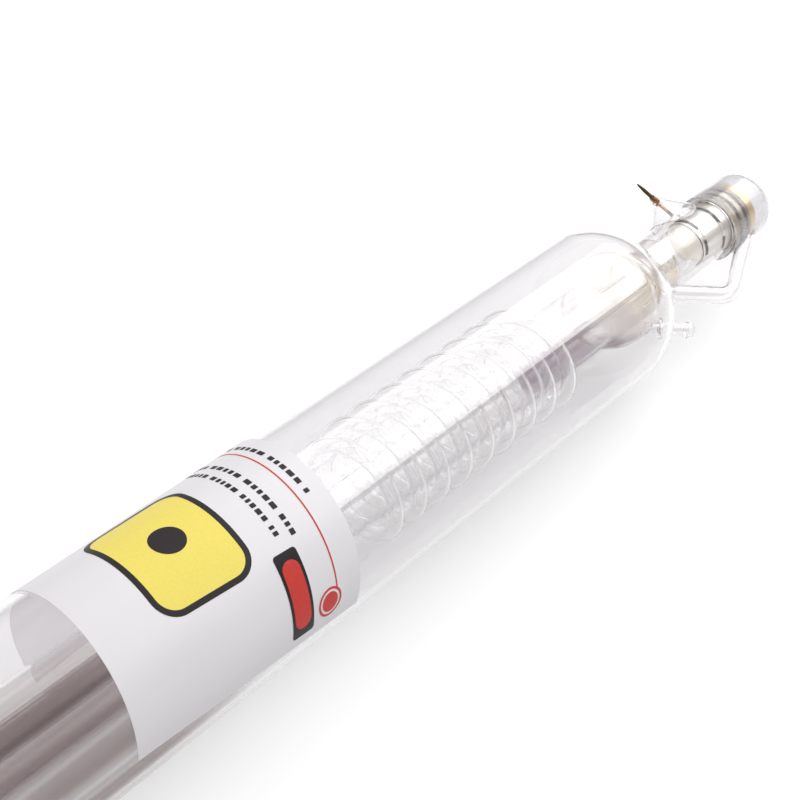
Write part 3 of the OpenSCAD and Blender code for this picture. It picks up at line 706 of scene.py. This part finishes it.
wire = [(PIN_R, i * PIN_LENGTH * POINT_START / 24) for i in range(25)]
tip = [(PIN_R * (1 - POINT_DEPTH * (i / 8) ** 1.3),
        PIN_LENGTH * (POINT_START + (1 - POINT_START) * i / 8)) for i in range(1, 9)]
for name, node, side in (("anode_pin_wire", "anode_pin", REAR),
                         ("cathode_pin_wire", "cathode_pin", FRONT)):
    pin = turn_on(name, [(0, 0)] + wire + tip + [(0, PIN_LENGTH)], PIN_FOOT, PIN_SLANT,
                  PIN_ANGLE, side, steps=24)
    pin.data.materials.append(tinted_tungsten_with_highlight)
    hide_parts(node)
    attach(pin, "root")
print("pins", PIN_LENGTH, "mm long")

# %% [markdown]
# ## Glass seals
# A cone of glass is drawn up from the neck round the hot pin, and ends in a small collar. It
# starts as a long oval on the neck's round side and ends as a circle, so it can't be turned.
# Its rings blend from the one shape to the other instead.

# %% A point of the seal
SEAL_ROOT, SEAL_MIDDLE, SEAL_HEIGHT = (90.4287, 15.75), 88.2486, 14.5
SEAL_SPREAD, SEAL_ROLL, SEAL_TIP_R, SEAL_COLLAR = 16.0, 50.0, 2.0, 2.5
SEAL_WALL, SEAL_CURVE = 1.1, 1.08       # at a curve of 1 the cone's sides would be straight
SEAL_DIR = (math.cos(math.radians(PIN_SLANT)), math.sin(math.radians(PIN_SLANT)))
SEAL_STEPS = 72
COLLAR_LOOP = ((2.0, 13.0), (2.0, 14.0), (1.8, 14.6), (1.3, 15.0))
COLLAR_TOP, CONE_ROOF = 15.1, 10.5      # heights of the collar's top and of the hollow's


def on_pin(height, radius=0.0, turn_by=0.0):
    """A point round the pin's axis, at a height above the seal's root."""
    c, s = math.cos(turn_by), math.sin(turn_by)
    return Vector((SEAL_ROOT[0] + SEAL_DIR[0] * height - SEAL_DIR[1] * radius * c,
                   SEAL_ROOT[1] + SEAL_DIR[1] * height + SEAL_DIR[0] * radius * c, radius * s))


def seal_point(share, turn_by, thinner=0.0):
    """A point of the drawn cone. Its share runs from 0 on the neck to 1 at the collar."""
    c, s = math.cos(turn_by), math.sin(turn_by)
    roll = math.radians(SEAL_ROLL * s)
    foot_r, least_r = NECK_R + SEAM, 0.3
    foot = Vector((SEAL_MIDDLE - SEAL_SPREAD * c - SEAL_ROOT[0],
                   foot_r * math.cos(roll) - SEAL_ROOT[1], foot_r * math.sin(roll)))
    tip = SEAL_TIP_R * Vector((-SEAL_DIR[1] * c, SEAL_DIR[0] * c, s))
    out = foot.lerp(tip, 1 - (1 - share) ** SEAL_CURVE)
    return (on_pin((SEAL_HEIGHT - SEAL_COLLAR) * share)
            + out * (1 - thinner / max(out.length, thinner + least_r)))


print("seal's tip at", [round(v, 1) for v in on_pin(COLLAR_TOP)])

# %% Glass seals round the pins
turns = [2 * math.pi * k / SEAL_STEPS for k in range(SEAL_STEPS)]
outside = [[seal_point(i / 24, a) for a in turns] for i in range(25)]
inside = [[seal_point(i / 24, a, SEAL_WALL) for a in turns] for i in range(19)]
collar = [[on_pin(h, r, a) for a in turns] for r, h in COLLAR_LOOP]
poles = [[on_pin(h)] for h in (COLLAR_TOP, CONE_ROOF)]
for name, node, side in (("anode_seal_glass", "anode_pin_seal", REAR),
                         ("cathode_seal_glass", "cathode_pin_seal", FRONT)):
    rings = [[place(side, p.x, p.y, p.z, PIN_ANGLE) for p in ring]
             for ring in outside + collar + poles + inside[::-1]]
    seal = add_rings(name, rings, SEAL_STEPS, side)
    seal.data.materials.append(fitting_glass)
    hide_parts(node)
    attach(seal, "root")
print("seals of", SEAL_STEPS, "steps made")

# %% [markdown]
# ## The rear mirror and its cooling cup
# The mirror closes the rear neck, and a glass cup carries cooling water over its back. The cup
# is pressed glass that has clouded with scale from the water, so it is rougher than the rest.
# One roughness would look like sanded glass, and scale settles in patches, so noise spreads it.

# %% Clouded cup glass
def clouded_glass():
    """Pressed glass with scale in patches of 11 mm."""
    material, tree, shader = borosilicate("clouded_cup_glass", "#ecebed", roughness=0.22,
                                          depth_mm=0.01)
    patches = add_node(tree, "ShaderNodeTexNoise", inputs={
        "Vector": stretched(tree, (90.0, 90.0, 90.0)), "Scale": 1.0, "Detail": 3.0})
    haze = add_node(tree, "ShaderNodeMapRange", inputs={
        "Value": patches.outputs[0], "From Min": 0.35, "From Max": 0.65,
        "To Min": 0.12, "To Max": 0.3})
    tree.links.new(haze.outputs[0], shader.inputs["Roughness"])
    return material


cup_glass = clouded_glass()
print("cup glass made:", cup_glass.name)

# %% Cooling cup
CUP_R, CUP_WALL, CUP_START, CUP_END, CUP_ROUND = 17.8, 1.4, 104.85, 144.4, 7.5
CUP_LIP, CUP_LIP_INSIDE = 1.4, 0.25


def cup_path(r, start, end, front_round, rear_round, opening):
    """From the opening round the neck to the middle of the cup's back."""
    return ([(opening, start)] + arc(start + front_round, r - front_round, front_round, 180, 90, 8)
            + arc(end - rear_round, r - rear_round, rear_round, 90, 0, 16) + [(0, end)])


outer = cup_path(CUP_R, CUP_START, CUP_END, CUP_LIP, CUP_ROUND, NECK_R + SEAM)
inner = cup_path(CUP_R - CUP_WALL, CUP_START + CUP_WALL, CUP_END - CUP_WALL, CUP_LIP_INSIDE,
                 CUP_ROUND - CUP_WALL, NECK_R + SEAM)
cooling_cup = turn("cooling_cup_glass", outer + inner[::-1], steps=160)
cooling_cup.data.materials.append(cup_glass)
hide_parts("mirror_cooling_cup")
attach(cooling_cup, "root")
print("cooling cup:", len(cooling_cup.data.vertices), "points")

# %% [markdown]
# ## Mirror and seat
# The seat is a brass ring with two grooves that hold the cement, and the mirror is a thick disc
# on its end. Their edges are broken by a few tenths of a millimetre, as on any turned part. A
# bevel modifier could do that, but the profile already says where each edge is.

# %% Mirror and seat
MIRROR_R, MIRROR_THICK, SEAT_BORE_R = 15.0, 6.0, 11.0
SEAT_R, SEAT_BEVEL, MIRROR_BEVEL = NECK_R - NECK_WALL - SEAM, 0.3, 0.4
GROOVE_TOP, GROOVE_FOOT, GROOVE_DEPTH = 1.5, 1.2, 1.2       # half widths, and depth

outside = [(SEAT_BORE_R, SEAT_START), (SEAT_R - SEAT_BEVEL, SEAT_START),
           (SEAT_R, SEAT_START + SEAT_BEVEL)]
for spot in SEAT_GROOVES:
    outside += [(SEAT_R, spot - GROOVE_TOP), (SEAT_R - GROOVE_DEPTH, spot - GROOVE_FOOT),
                (SEAT_R - GROOVE_DEPTH, spot + GROOVE_FOOT), (SEAT_R, spot + GROOVE_TOP)]
mirror_seat = turn("mirror_seat_ring", outside + [(SEAT_R, REAR_NECK), (SEAT_BORE_R, REAR_NECK)],
                   steps=128, sharp=25)
mirror_seat.data.materials.append(turned_brass)
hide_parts("rear_mirror_seat")
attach(mirror_seat, "root")

mirror_end, edge_r = REAR_NECK + MIRROR_THICK, MIRROR_R - MIRROR_BEVEL
mirror = turn("rear_mirror_disc", [
    (0, REAR_NECK), (edge_r, REAR_NECK), (MIRROR_R, REAR_NECK + MIRROR_BEVEL),
    (MIRROR_R, mirror_end - MIRROR_BEVEL), (edge_r, mirror_end), (0, mirror_end)],
    steps=128, sharp=25)
mirror.data.materials.append(gold_coating)
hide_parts("rear_mirror")
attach(mirror, "root")
print("mirror and seat made")

# %% [markdown]
# ## The bridge pipe
# Cooling water crosses from the jacket to the cup through this pipe. It is bent over a flame,
# which leaves two straight legs and one bend of even radius. A spline through a few points
# would bulge between them, so the legs and the bend are worked out from their two slopes.

# %% Bridge pipe
BRIDGE_R, BRIDGE_WALL, BRIDGE_ANGLE, BRIDGE_BEND = 4.5, 1.2, 205.0, 14.0
BRIDGE_IN, BRIDGE_OUT = Vector((39.3, 8.85)), Vector((129.15, 12.9))
RISE, FALL = math.radians(33.2), math.radians(24.5)
TRIM_IN, TRIM_OUT = 6.0, 4.0            # how far each leg stops short of what it enters
LEG_STEPS, BEND_STEPS = 12, 20
up_dir = Vector((math.cos(RISE), math.sin(RISE)))
down_dir = Vector((math.cos(FALL), -math.sin(FALL)))
span = BRIDGE_OUT - BRIDGE_IN
leg = (span.x * math.sin(FALL) + span.y * math.cos(FALL)) / math.sin(RISE + FALL)
corner = BRIDGE_IN + up_dir * leg
cut = BRIDGE_BEND * math.tan((RISE + FALL) / 2)
bend_from, bend_to = corner - cut * up_dir, corner + cut * down_dir
centre = bend_from + BRIDGE_BEND * Vector((up_dir.y, -up_dir.x))
leg_start, leg_end = BRIDGE_IN + up_dir * TRIM_IN, BRIDGE_OUT - down_dir * TRIM_OUT
path = [leg_start.lerp(bend_from, i / LEG_STEPS) for i in range(LEG_STEPS)]
for i in range(BEND_STEPS + 1):
    a = RISE - (RISE + FALL) * i / BEND_STEPS
    path.append(centre + BRIDGE_BEND * Vector((-math.sin(a), math.cos(a))))
path += [bend_to.lerp(leg_end, i / LEG_STEPS) for i in range(1, LEG_STEPS + 1)]
bridge = sweep("bridge_pipe_glass", [place(REAR, p.x, p.y, 0, BRIDGE_ANGLE) for p in path],
               BRIDGE_R, BRIDGE_WALL, sides=32)
bridge.data.materials.append(fitting_glass)
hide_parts("bridge_pipe")
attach(bridge, "root")
print("bridge pipe corner at", [round(v, 1) for v in corner])

# %% [markdown]
# ## Hose nipples
# A nipple is a short glass tube with a bead near its mouth, so that the hose can't slip off. It
# reaches down through the dome into the jacket's bulb, and where it passes the dome the glass
# is melted together into a small skirt. Skirt, bead and mouth could be pieces laid into each
# other, but glass would show them, so one profile holds them all.

# %% Fittings on the dome
def on_dome(spot):
    """Where the dome's surface is, at an angle in degrees from the tube's axis."""
    return (ENVELOPE_R * math.cos(math.radians(spot)), ENVELOPE_R * math.sin(math.radians(spot)))


def skirt(r, top, size):
    """A fitting's foot, from 1 mm under the dome up to a height, widened where it has melted."""
    heights = [-1 + i / 2 for i in range(int(2 * top) + 3)]
    return [(r + size * math.exp(-(h / size) ** 2 * 1.4), h) for h in heights]


print("dome's surface at 45 degrees:", [round(v, 1) for v in on_dome(45)])

# %% Hose nipples
NIPPLE_R, NIPPLE_WALL, NIPPLE_SLANT, NIPPLE_ANGLE, NIPPLE_REACH = 3.5, 1.1, 30.0, 210.0, 17.0
NIPPLE_SPOT, NIPPLE_SINK = 43.5, 12.5
RIM_START, RIM_LENGTH, RIM_HEIGHT = 13.4, 2.6, 0.6

bore = NIPPLE_R - NIPPLE_WALL
neck = [(NIPPLE_R, h) for h in (9, 11, 13)]
rim = [(NIPPLE_R + RIM_HEIGHT * math.sin(math.pi * i / 10), RIM_START + RIM_LENGTH * i / 10)
       for i in range(11)]
loop = ([(NIPPLE_R, -NIPPLE_SINK), (NIPPLE_R, -2.0)] + skirt(NIPPLE_R, 7.5, 2.2) + neck + rim
        + lip(NIPPLE_R, bore, NIPPLE_REACH) + [(bore, -NIPPLE_SINK)])
for name, node, side in (("rear_hose_nipple", "rear_water_nipple", REAR),
                         ("front_hose_nipple", "front_water_nipple", FRONT)):
    nipple = turn_on(name, loop, on_dome(NIPPLE_SPOT), NIPPLE_SLANT, NIPPLE_ANGLE, side)
    nipple.data.materials.append(fitting_glass)
    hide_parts(node)
    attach(nipple, "root")
print("hose nipples reach", NIPPLE_REACH, "mm")

# %% [markdown]
# ## The exhaust stem
# The tube is pumped out and filled through this stem, which is then melted shut. The flame
# leaves a short shoulder and a drawn-out tip. The hollow inside shows through the glass, so it
# is modelled too, with its round end.

# %% Exhaust stem
STEM_R, STEM_HEIGHT, STEM_SPOT, STEM_BORE_R, STEM_SINK = 4.0, 9.0, 45.0, 2.8, 2.4
TIP_START, TIP_SHOULDER = 3.6, 0.5
HOLLOW_START, HOLLOW_RISE, HOLLOW_TOP = 3.2, 3.0, 6.4

tip = [(STEM_R * math.cos(math.pi / 2 * i / 12) ** 1.4 + TIP_SHOULDER * (1 - i / 12),
        TIP_START + (STEM_HEIGHT - TIP_START) * i / 12) for i in range(12)]
hollow = [(STEM_BORE_R * math.sin(math.pi / 2 * i / 8),
           HOLLOW_START + HOLLOW_RISE * math.cos(math.pi / 2 * i / 8)) for i in range(1, 9)]
loop = ([(STEM_R, -STEM_SINK)] + skirt(STEM_R, 3.0, 1.8) + tip + [(0, STEM_HEIGHT)]
        + [(0, HOLLOW_TOP)] + hollow + [(STEM_BORE_R, -STEM_SINK)])
stem = turn_on("exhaust_stem_glass", loop, on_dome(STEM_SPOT), STEM_SPOT, 90.0, FRONT)
stem.data.materials.append(fitting_glass)
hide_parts("exhaust_stem")
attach(stem, "root")
print("exhaust stem made")

# %% [markdown]
# ## The output end
# A turned aluminium holder is bonded into the front neck. It carries the window, a disc of
# zinc selenide, which is a clear amber crystal, and a ring keeps the window in. These CAD
# shapes are right as they are, so they only get their finish. The crystal bends light far more
# than glass does, so it mirrors more, and its amber drifts a little over 17 mm.

# %% Output end
def zinc_selenide():
    """A polished crystal with an index of 2.4, which lets most of the light through."""
    material, tree, shader = add_finish("polished_zinc_selenide", **{
        "Base Color": linear("#f0b445"), "Roughness": 0.03, "IOR": 2.4,
        "Transmission Weight": 0.85})
    haze = add_node(tree, "ShaderNodeTexNoise", inputs={
        "Vector": stretched(tree, (60.0, 60.0, 60.0)), "Scale": 1.0, "Detail": 2.0})
    tone = add_node(tree, "ShaderNodeMix", {"data_type": "RGBA"}, {
        0: haze.outputs[0], 6: linear("#f3bd55"), 7: linear("#e3a036")})
    tree.links.new(tone.outputs[2], shader.inputs["Base Color"])
    return material


crystal = zinc_selenide()
for node, finish in (("output_holder", turned_aluminium), ("output_retainer", turned_aluminium),
                     ("output_window", crystal)):
    solid = frame["nodes"][node]
    solid.data.materials.clear()
    solid.data.materials.append(finish)
print("output end finished")

# %% [markdown]
# ## The label
# The label is a white plastic film stuck round the envelope, a little out of square. It is a
# sheet of points measured on the flat film and then rolled onto the glass. A modifier could
# wrap a flat sheet too, but this way the film keeps its true size, and the print can be laid
# on it the same way: plain fields, lines and dashes of ink, each a few hundredths of a
# millimetre above the film.

# %% Rolling flat points onto the glass
LABEL_LENGTH, LABEL_HEIGHT, LABEL_X, LABEL_EDGE, LABEL_SKEW = 113.0, 150.0, 116.5, 190.0, 4.5
LABEL_R, LABEL_THICK = ENVELOPE_R + SEAM / 2, 0.15
LABEL_CENTRE = LABEL_EDGE - math.degrees(LABEL_HEIGHT / 2 / ENVELOPE_R)


def on_label(along, across, radius):
    """Metres of a point on the rolled film; along and across are millimetres from its centre."""
    c, s = math.cos(math.radians(LABEL_SKEW)), math.sin(math.radians(LABEL_SKEW))
    x = along * c - across * s
    angle = LABEL_CENTRE + math.degrees((along * s + across * c) / ENVELOPE_R)
    return place(REAR, LABEL_X + x - DOME_X, radius, 0, angle)


print("label's centre at", [round(v, 3) for v in on_label(0, 0, LABEL_R)])

# %% Label finishes
CREASE_DEPTH = 0.05


def label_film():
    """Matt white film: even, with faint creases from being smoothed on by hand, 40 mm along
    the tube and 14 mm round it."""
    material, tree, shader = add_finish("white_plastic_film", **{
        "Base Color": linear("#e9e6ea"), "Roughness": 0.38, "IOR": 1.5})
    creases = add_node(tree, "ShaderNodeTexNoise", inputs={
        "Vector": stretched(tree, (25.0, 70.0, 70.0)), "Scale": 1.0, "Detail": 2.0})
    tone = add_node(tree, "ShaderNodeMix", {"data_type": "RGBA"}, {
        0: creases.outputs[0], 6: linear("#ebe8ec"), 7: linear("#e6e3e7")})
    tree.links.new(tone.outputs[2], shader.inputs["Base Color"])
    bump = add_node(tree, "ShaderNodeBump", inputs={
        "Height": creases.outputs[0], "Distance": CREASE_DEPTH / 1000})
    tree.links.new(bump.outputs[0], shader.inputs["Normal"])
    return material


def film_back():
    """The film's back on the glass, with its glue in patches of 11 to 25 mm. Daylight soaks
    through the film, so the back glows."""
    material, tree, shader = add_finish("adhesive_back_of_film", **{
        "Base Color": linear("#cfc9cc"), "Roughness": 0.5, "IOR": 1.5, "Emission Strength": 0.7})
    glue = add_node(tree, "ShaderNodeTexNoise", inputs={
        "Vector": stretched(tree, (40.0, 90.0, 90.0)), "Scale": 1.0, "Detail": 2.0})
    tone = add_node(tree, "ShaderNodeMix", {"data_type": "RGBA"}, {
        0: glue.outputs[0], 6: linear("#ffffff"), 7: linear("#e6dfe2")})
    tree.links.new(tone.outputs[2], shader.inputs["Emission Color"])
    return material


white_film, glowing_back = label_film(), film_back()
print("film finishes made:", white_film.name, glowing_back.name)

# %% Label sheet
columns, rows = 40, 160
points = []
for radius in (LABEL_R + LABEL_THICK, LABEL_R):
    points += [on_label(LABEL_LENGTH * (j / columns - 0.5), LABEL_HEIGHT * (i / rows - 0.5), radius)
               for i in range(rows + 1) for j in range(columns + 1)]
per_side = (rows + 1) * (columns + 1)
faces = []
for i in range(rows):
    for j in range(columns):
        a = i * (columns + 1) + j
        quad = (a, a + 1, a + columns + 2, a + columns + 1)
        faces.append(quad)
        faces.append(tuple(v + per_side for v in reversed(quad)))
rim = (list(range(columns)) + [i * (columns + 1) + columns for i in range(rows)]
       + [rows * (columns + 1) + j for j in range(columns, 0, -1)]
       + [i * (columns + 1) for i in range(rows, 0, -1)])
for a, b in zip(rim, rim[1:] + rim[:1]):
    faces.append((b, a, a + per_side, b + per_side))
label = add_mesh("label_film_sheet", points, faces)
label.data.materials.append(white_film)
label.data.materials.append(glowing_back)
for face in label.data.polygons:
    face.material_index = int(all(v >= per_side for v in face.vertices))
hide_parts("label_wrap")
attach(label, "root")
print("label film", LABEL_LENGTH, "x", LABEL_HEIGHT, "mm")

# %% [markdown]
# ## The print
# The ink is screen-printed, so it is even, with a crisp edge, and lies on the film as a layer.
# Masks in the film's material would need nodes for every mark, so each ink is a thin sheet of
# its own. A field is a fan of rings from its middle to its outline, close enough to follow the
# roll of the film. Every mark is a plain shape: it names nothing and warns of nothing.

# %% Printed inks
def ink(name, light, dark):
    """Screen-printed ink: nearly even, with a mottle of 1 mm, and deep in tone, since it shines
    less than the film."""
    material, tree, shader = add_finish(name, **{
        "Roughness": 0.4, "IOR": 1.5, "Specular IOR Level": 0.2})
    mottle = add_node(tree, "ShaderNodeTexNoise", inputs={
        "Vector": stretched(tree, (900.0, 900.0, 900.0)), "Scale": 1.0, "Detail": 1.0})
    tone = add_node(tree, "ShaderNodeMix", {"data_type": "RGBA"}, {
        0: mottle.outputs[0], 6: linear(light), 7: linear(dark)})
    tree.links.new(tone.outputs[2], shader.inputs["Base Color"])
    return material


yellow_ink = ink("yellow_screen_ink", "#f8e673", "#f0dc66")
black_ink = ink("black_screen_ink", "#2b2528", "#211c1f")
red_ink = ink("red_screen_ink", "#d5473f", "#c93b35")
print("inks made:", yellow_ink.name, black_ink.name, red_ink.name)

# %% Flat outlines
def circle(centre, radius, steps=48):
    """A circle as a list of points on the flat film."""
    return [(centre[0] + radius * math.cos(2 * math.pi * k / steps),
             centre[1] + radius * math.sin(2 * math.pi * k / steps)) for k in range(steps)]


def outline(centre, half_along, half_across, round_mm, steps=10):
    """A rounded rectangle as a list of points on the flat film."""
    points = []
    for quarter, (sx, sy) in enumerate(((1, 1), (-1, 1), (-1, -1), (1, -1))):
        for i in range(steps + 1):
            a = math.pi / 2 * (quarter + i / steps)
            points.append((sx * (half_along - round_mm) + round_mm * math.cos(a),
                           sy * (half_across - round_mm) + round_mm * math.sin(a)))
    dense = []
    for (ax, ay), (bx, by) in zip(points, points[1:] + points[:1]):
        parts = max(1, int(math.hypot(bx - ax, by - ay) / 2))
        dense += [(ax + (bx - ax) * k / parts, ay + (by - ay) * k / parts) for k in range(parts)]
    return [(centre[0] + x, centre[1] + y) for x, y in dense]


print("outline of a square:", len(outline((0, 0), 5, 5, 1)), "points")

# %% One ink's sheet of marks
INK_MM = 0.04           # from one layer of ink to the next


class Print:
    """Collects flat shapes of one ink and rolls them onto the film as one piece."""

    def __init__(self, layer):
        self.radius = LABEL_R + LABEL_THICK + INK_MM * layer
        self.points, self.faces = [], []

    def field(self, shape, ring_mm=1.2):
        """A filled shape, in rings close enough to follow the roll of the film."""
        middle = (sum(p[0] for p in shape) / len(shape), sum(p[1] for p in shape) / len(shape))
        rings = 1 + int(max(math.dist(p, middle) for p in shape) / ring_mm)
        first, count = len(self.points), len(shape)
        for ring in range(rings + 1):
            share = ring / rings
            self.points += [on_label(middle[0] + (x - middle[0]) * share,
                                     middle[1] + (y - middle[1]) * share, self.radius)
                            for x, y in shape]
        for ring in range(rings):
            for k in range(count):
                a, b = first + ring * count + k, first + ring * count + (k + 1) % count
                self.faces.append((a, a + count, b + count, b))

    def border(self, outside, inside):
        """The band between two outlines with the same number of points."""
        first, count = len(self.points), len(outside)
        self.points += [on_label(x, y, self.radius) for x, y in inside + outside]
        for k in range(count):
            a, b = first + k, first + (k + 1) % count
            self.faces.append((a, a + count, b + count, b))

    def make(self, name, finish):
        """Turns what was collected into one piece with its ink."""
        piece = add_mesh(name, self.points, self.faces)
        piece.data.materials.append(finish)
        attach(piece, "root")
        print(name, len(self.faces), "faces")


print("ink layers are", INK_MM, "mm apart")

# %% Yellow field with its dark border
FIELD, FIELD_ALONG, FIELD_ACROSS, FIELD_ROUND = (-8.5, 9.0), 20.0, 26.0, 8.0
BORDER, OVERLAP, DISC_R = 2.0, 0.4, 7.0
yellow, black, red, inset = Print(1), Print(2), Print(2), Print(3)


def field_outline(wider):
    """The field's outline, moved out by so many millimetres."""
    return outline(FIELD, FIELD_ALONG + wider, FIELD_ACROSS + wider, FIELD_ROUND + wider)


yellow.field(field_outline(0))
black.border(field_outline(BORDER), field_outline(-OVERLAP))
black.field(circle(FIELD, DISC_R, steps=64))
print("yellow field", 2 * FIELD_ALONG, "x", 2 * FIELD_ACROSS, "mm")

# %% Bar and ring line
BAR, TARGET = (25.0, 53.0), (39.5, 63.5)
LINE_ALONG, LINE_START, LINE_STEP, LINE_PARTS = 43.5, -74.0, 2.25, 60


def bar(sheet, centre, half_along, half_across, round_mm=0.5):
    """A filled bar with rounded corners."""
    sheet.field(outline(centre, half_along, half_across, round_mm, steps=4))


bar(black, BAR, 5.6, 17.5, 1.5)
bar(inset, BAR, 4.2, 14.0, 4.0)
for k in range(LINE_PARTS):
    bar(red, (LINE_ALONG, LINE_START + LINE_STEP * k), 0.35, 1.15, 0.05)
red.field(circle(TARGET, 4.2))
red.border(circle(TARGET, 6.2), circle(TARGET, 5.2))
print("ring line of", LINE_PARTS, "parts")

# %% Rows of dashes
def dashes(sheet, along, start, end, size, gap, seed):
    """A row of short dashes of uneven length, with a wider gap after every fifth."""
    spot, k = start, seed
    while spot < end:
        k += 1
        length = size * (0.55 + 0.45 * math.sin(k * 2.4) ** 2)
        bar(sheet, (along, spot + length / 2), 1.15, length / 2, 0.3)
        spot += length + gap * (1 if k % 5 else 2.6)


dashes(black, along=33.0, start=-33.0, end=33.0, size=3.2, gap=1.1, seed=1)
dashes(black, along=26.5, start=-30.0, end=30.0, size=2.6, gap=1.0, seed=4)
dashes(black, along=48.5, start=-28.0, end=22.0, size=3.4, gap=1.1, seed=9)
yellow.make("print_yellow_field", yellow_ink)
black.make("print_dark_marks", black_ink)
red.make("print_red_marks", red_ink)
inset.make("print_red_inset", red_ink)

# %% [markdown]
# ## Studio
# Clear glass is lit by what stands round it. A white floor and a white room show through it,
# a soft box above gives one long clean reflection, and the room is a little darker low down,
# which draws the thin grey line along each edge of the glass. More lamps would add hard
# glints, so one lamp and the room do it all.

# %% Floor
FLOOR_GLOW, FLOOR_HALF = 0.6, 6.0       # strength, and half the floor's width in metres


def seen_at_all(tree, path):
    """1 for rays that show a surface: from the camera, off metal or through glass."""
    either = add_node(tree, "ShaderNodeMath", {"operation": "MAXIMUM"}, {
        0: path.outputs["Is Camera Ray"], 1: path.outputs["Is Glossy Ray"]})
    return add_node(tree, "ShaderNodeMath", {"operation": "MAXIMUM"}, {
        0: either.outputs[0], 1: path.outputs["Is Transmission Ray"]}).outputs[0]


def white_floor():
    """Matt white paper. It glows a little to what looks at it, so the paper itself reads white
    while it still takes the tube's shadow."""
    material = bpy.data.materials.new("white_paper_floor")
    material.use_nodes = True
    tree = material.node_tree
    tree.nodes.clear()
    paper = add_node(tree, "ShaderNodeBsdfDiffuse", inputs={"Color": linear("#b6b6b6")})
    glow = add_node(tree, "ShaderNodeMath", {"operation": "MULTIPLY"}, {
        0: seen_at_all(tree, add_node(tree, "ShaderNodeLightPath")), 1: FLOOR_GLOW})
    emission = add_node(tree, "ShaderNodeEmission", inputs={
        "Color": linear("#ffffff"), "Strength": glow.outputs[0]})
    both = add_node(tree, "ShaderNodeAddShader", inputs={0: paper.outputs[0],
                                                        1: emission.outputs[0]})
    out = add_node(tree, "ShaderNodeOutputMaterial")
    tree.links.new(both.outputs[0], out.inputs[0])
    return material


corners = [(x * FLOOR_HALF, y * FLOOR_HALF, 0) for x, y in ((-1, -1), (1, -1), (1, 1), (-1, 1))]
floor = add_mesh("floor", corners, [(0, 1, 2, 3)])
floor.data.materials.append(white_floor())
print("floor", 2 * FLOOR_HALF, "m wide")

# %% [markdown]
# ## The room and its lamp
# The room stands for walls and ceiling: even light for matt surfaces, and a white ground that
# is greyer low down for what shines. A real room could be built, but a world is clean from all
# sides. The lamp is wide, so its reflection is one long soft line.

# %% Room
def white_room(level, low, high):
    """Even light for the surfaces, a white background, and a greyer low band for reflections."""
    world = bpy.data.worlds.new("white_room")
    bpy.context.scene.world = world
    world.use_nodes = True
    tree = world.node_tree
    tree.nodes.clear()
    where = add_node(tree, "ShaderNodeTexCoord")
    split = add_node(tree, "ShaderNodeSeparateXYZ", inputs={0: where.outputs["Generated"]})
    sky = add_node(tree, "ShaderNodeValToRGB", inputs={0: split.outputs[2]})
    sky.color_ramp.elements[0].position, sky.color_ramp.elements[0].color = 0.02, linear(low)
    sky.color_ramp.elements[1].position, sky.color_ramp.elements[1].color = 0.45, linear(high)
    seen = add_node(tree, "ShaderNodeLightPath")
    any_of = seen_at_all(tree, seen)
    even = add_node(tree, "ShaderNodeBackground", inputs={
        "Color": linear("#ffffff"), "Strength": level})
    colour = add_node(tree, "ShaderNodeMix", {"data_type": "RGBA"}, {
        0: seen.outputs["Is Camera Ray"], 6: sky.outputs[0], 7: linear("#ffffff")})
    shown = add_node(tree, "ShaderNodeBackground", inputs={
        "Color": colour.outputs[2], "Strength": 1.0})
    mix = add_node(tree, "ShaderNodeMixShader", inputs={
        0: any_of, 1: even.outputs[0], 2: shown.outputs[0]})
    out = add_node(tree, "ShaderNodeOutputWorld")
    tree.links.new(mix.outputs[0], out.inputs[0])


white_room(level=0.75, low="#b4aeb2", high="#ffffff")
print("room made")

# %% Soft box
def soft_box(name, middle, size, power):
    """A lamp that faces down, with its middle and size in metres and its power in watts."""
    lamp = bpy.data.lights.new(name, "AREA")
    lamp.shape = "RECTANGLE"
    lamp.size, lamp.size_y = size
    lamp.energy = power
    box = bpy.data.objects.new(name, lamp)
    box.location = middle
    bpy.context.scene.collection.objects.link(box)


soft_box("soft_box", middle=(1.51, -0.325, 1.0), size=(1.48, 1.75), power=22.5)
print("studio set")

# %% [markdown]
# ## Last settings
# Light crosses up to twenty surfaces on its way through the walls, so it is followed a little
# further than that. With fewer bounces the inner tubes would turn black. Colours are shown
# plainly, as they are written.

# %% Depth of the glass
bpy.context.scene.cycles.max_bounces = 32
bpy.context.scene.cycles.transmission_bounces = 32
bpy.context.scene.cycles.glossy_bounces = 24
bpy.context.scene.view_settings.view_transform = "Standard"
print("light is followed for", bpy.context.scene.cycles.transmission_bounces, "bounces")
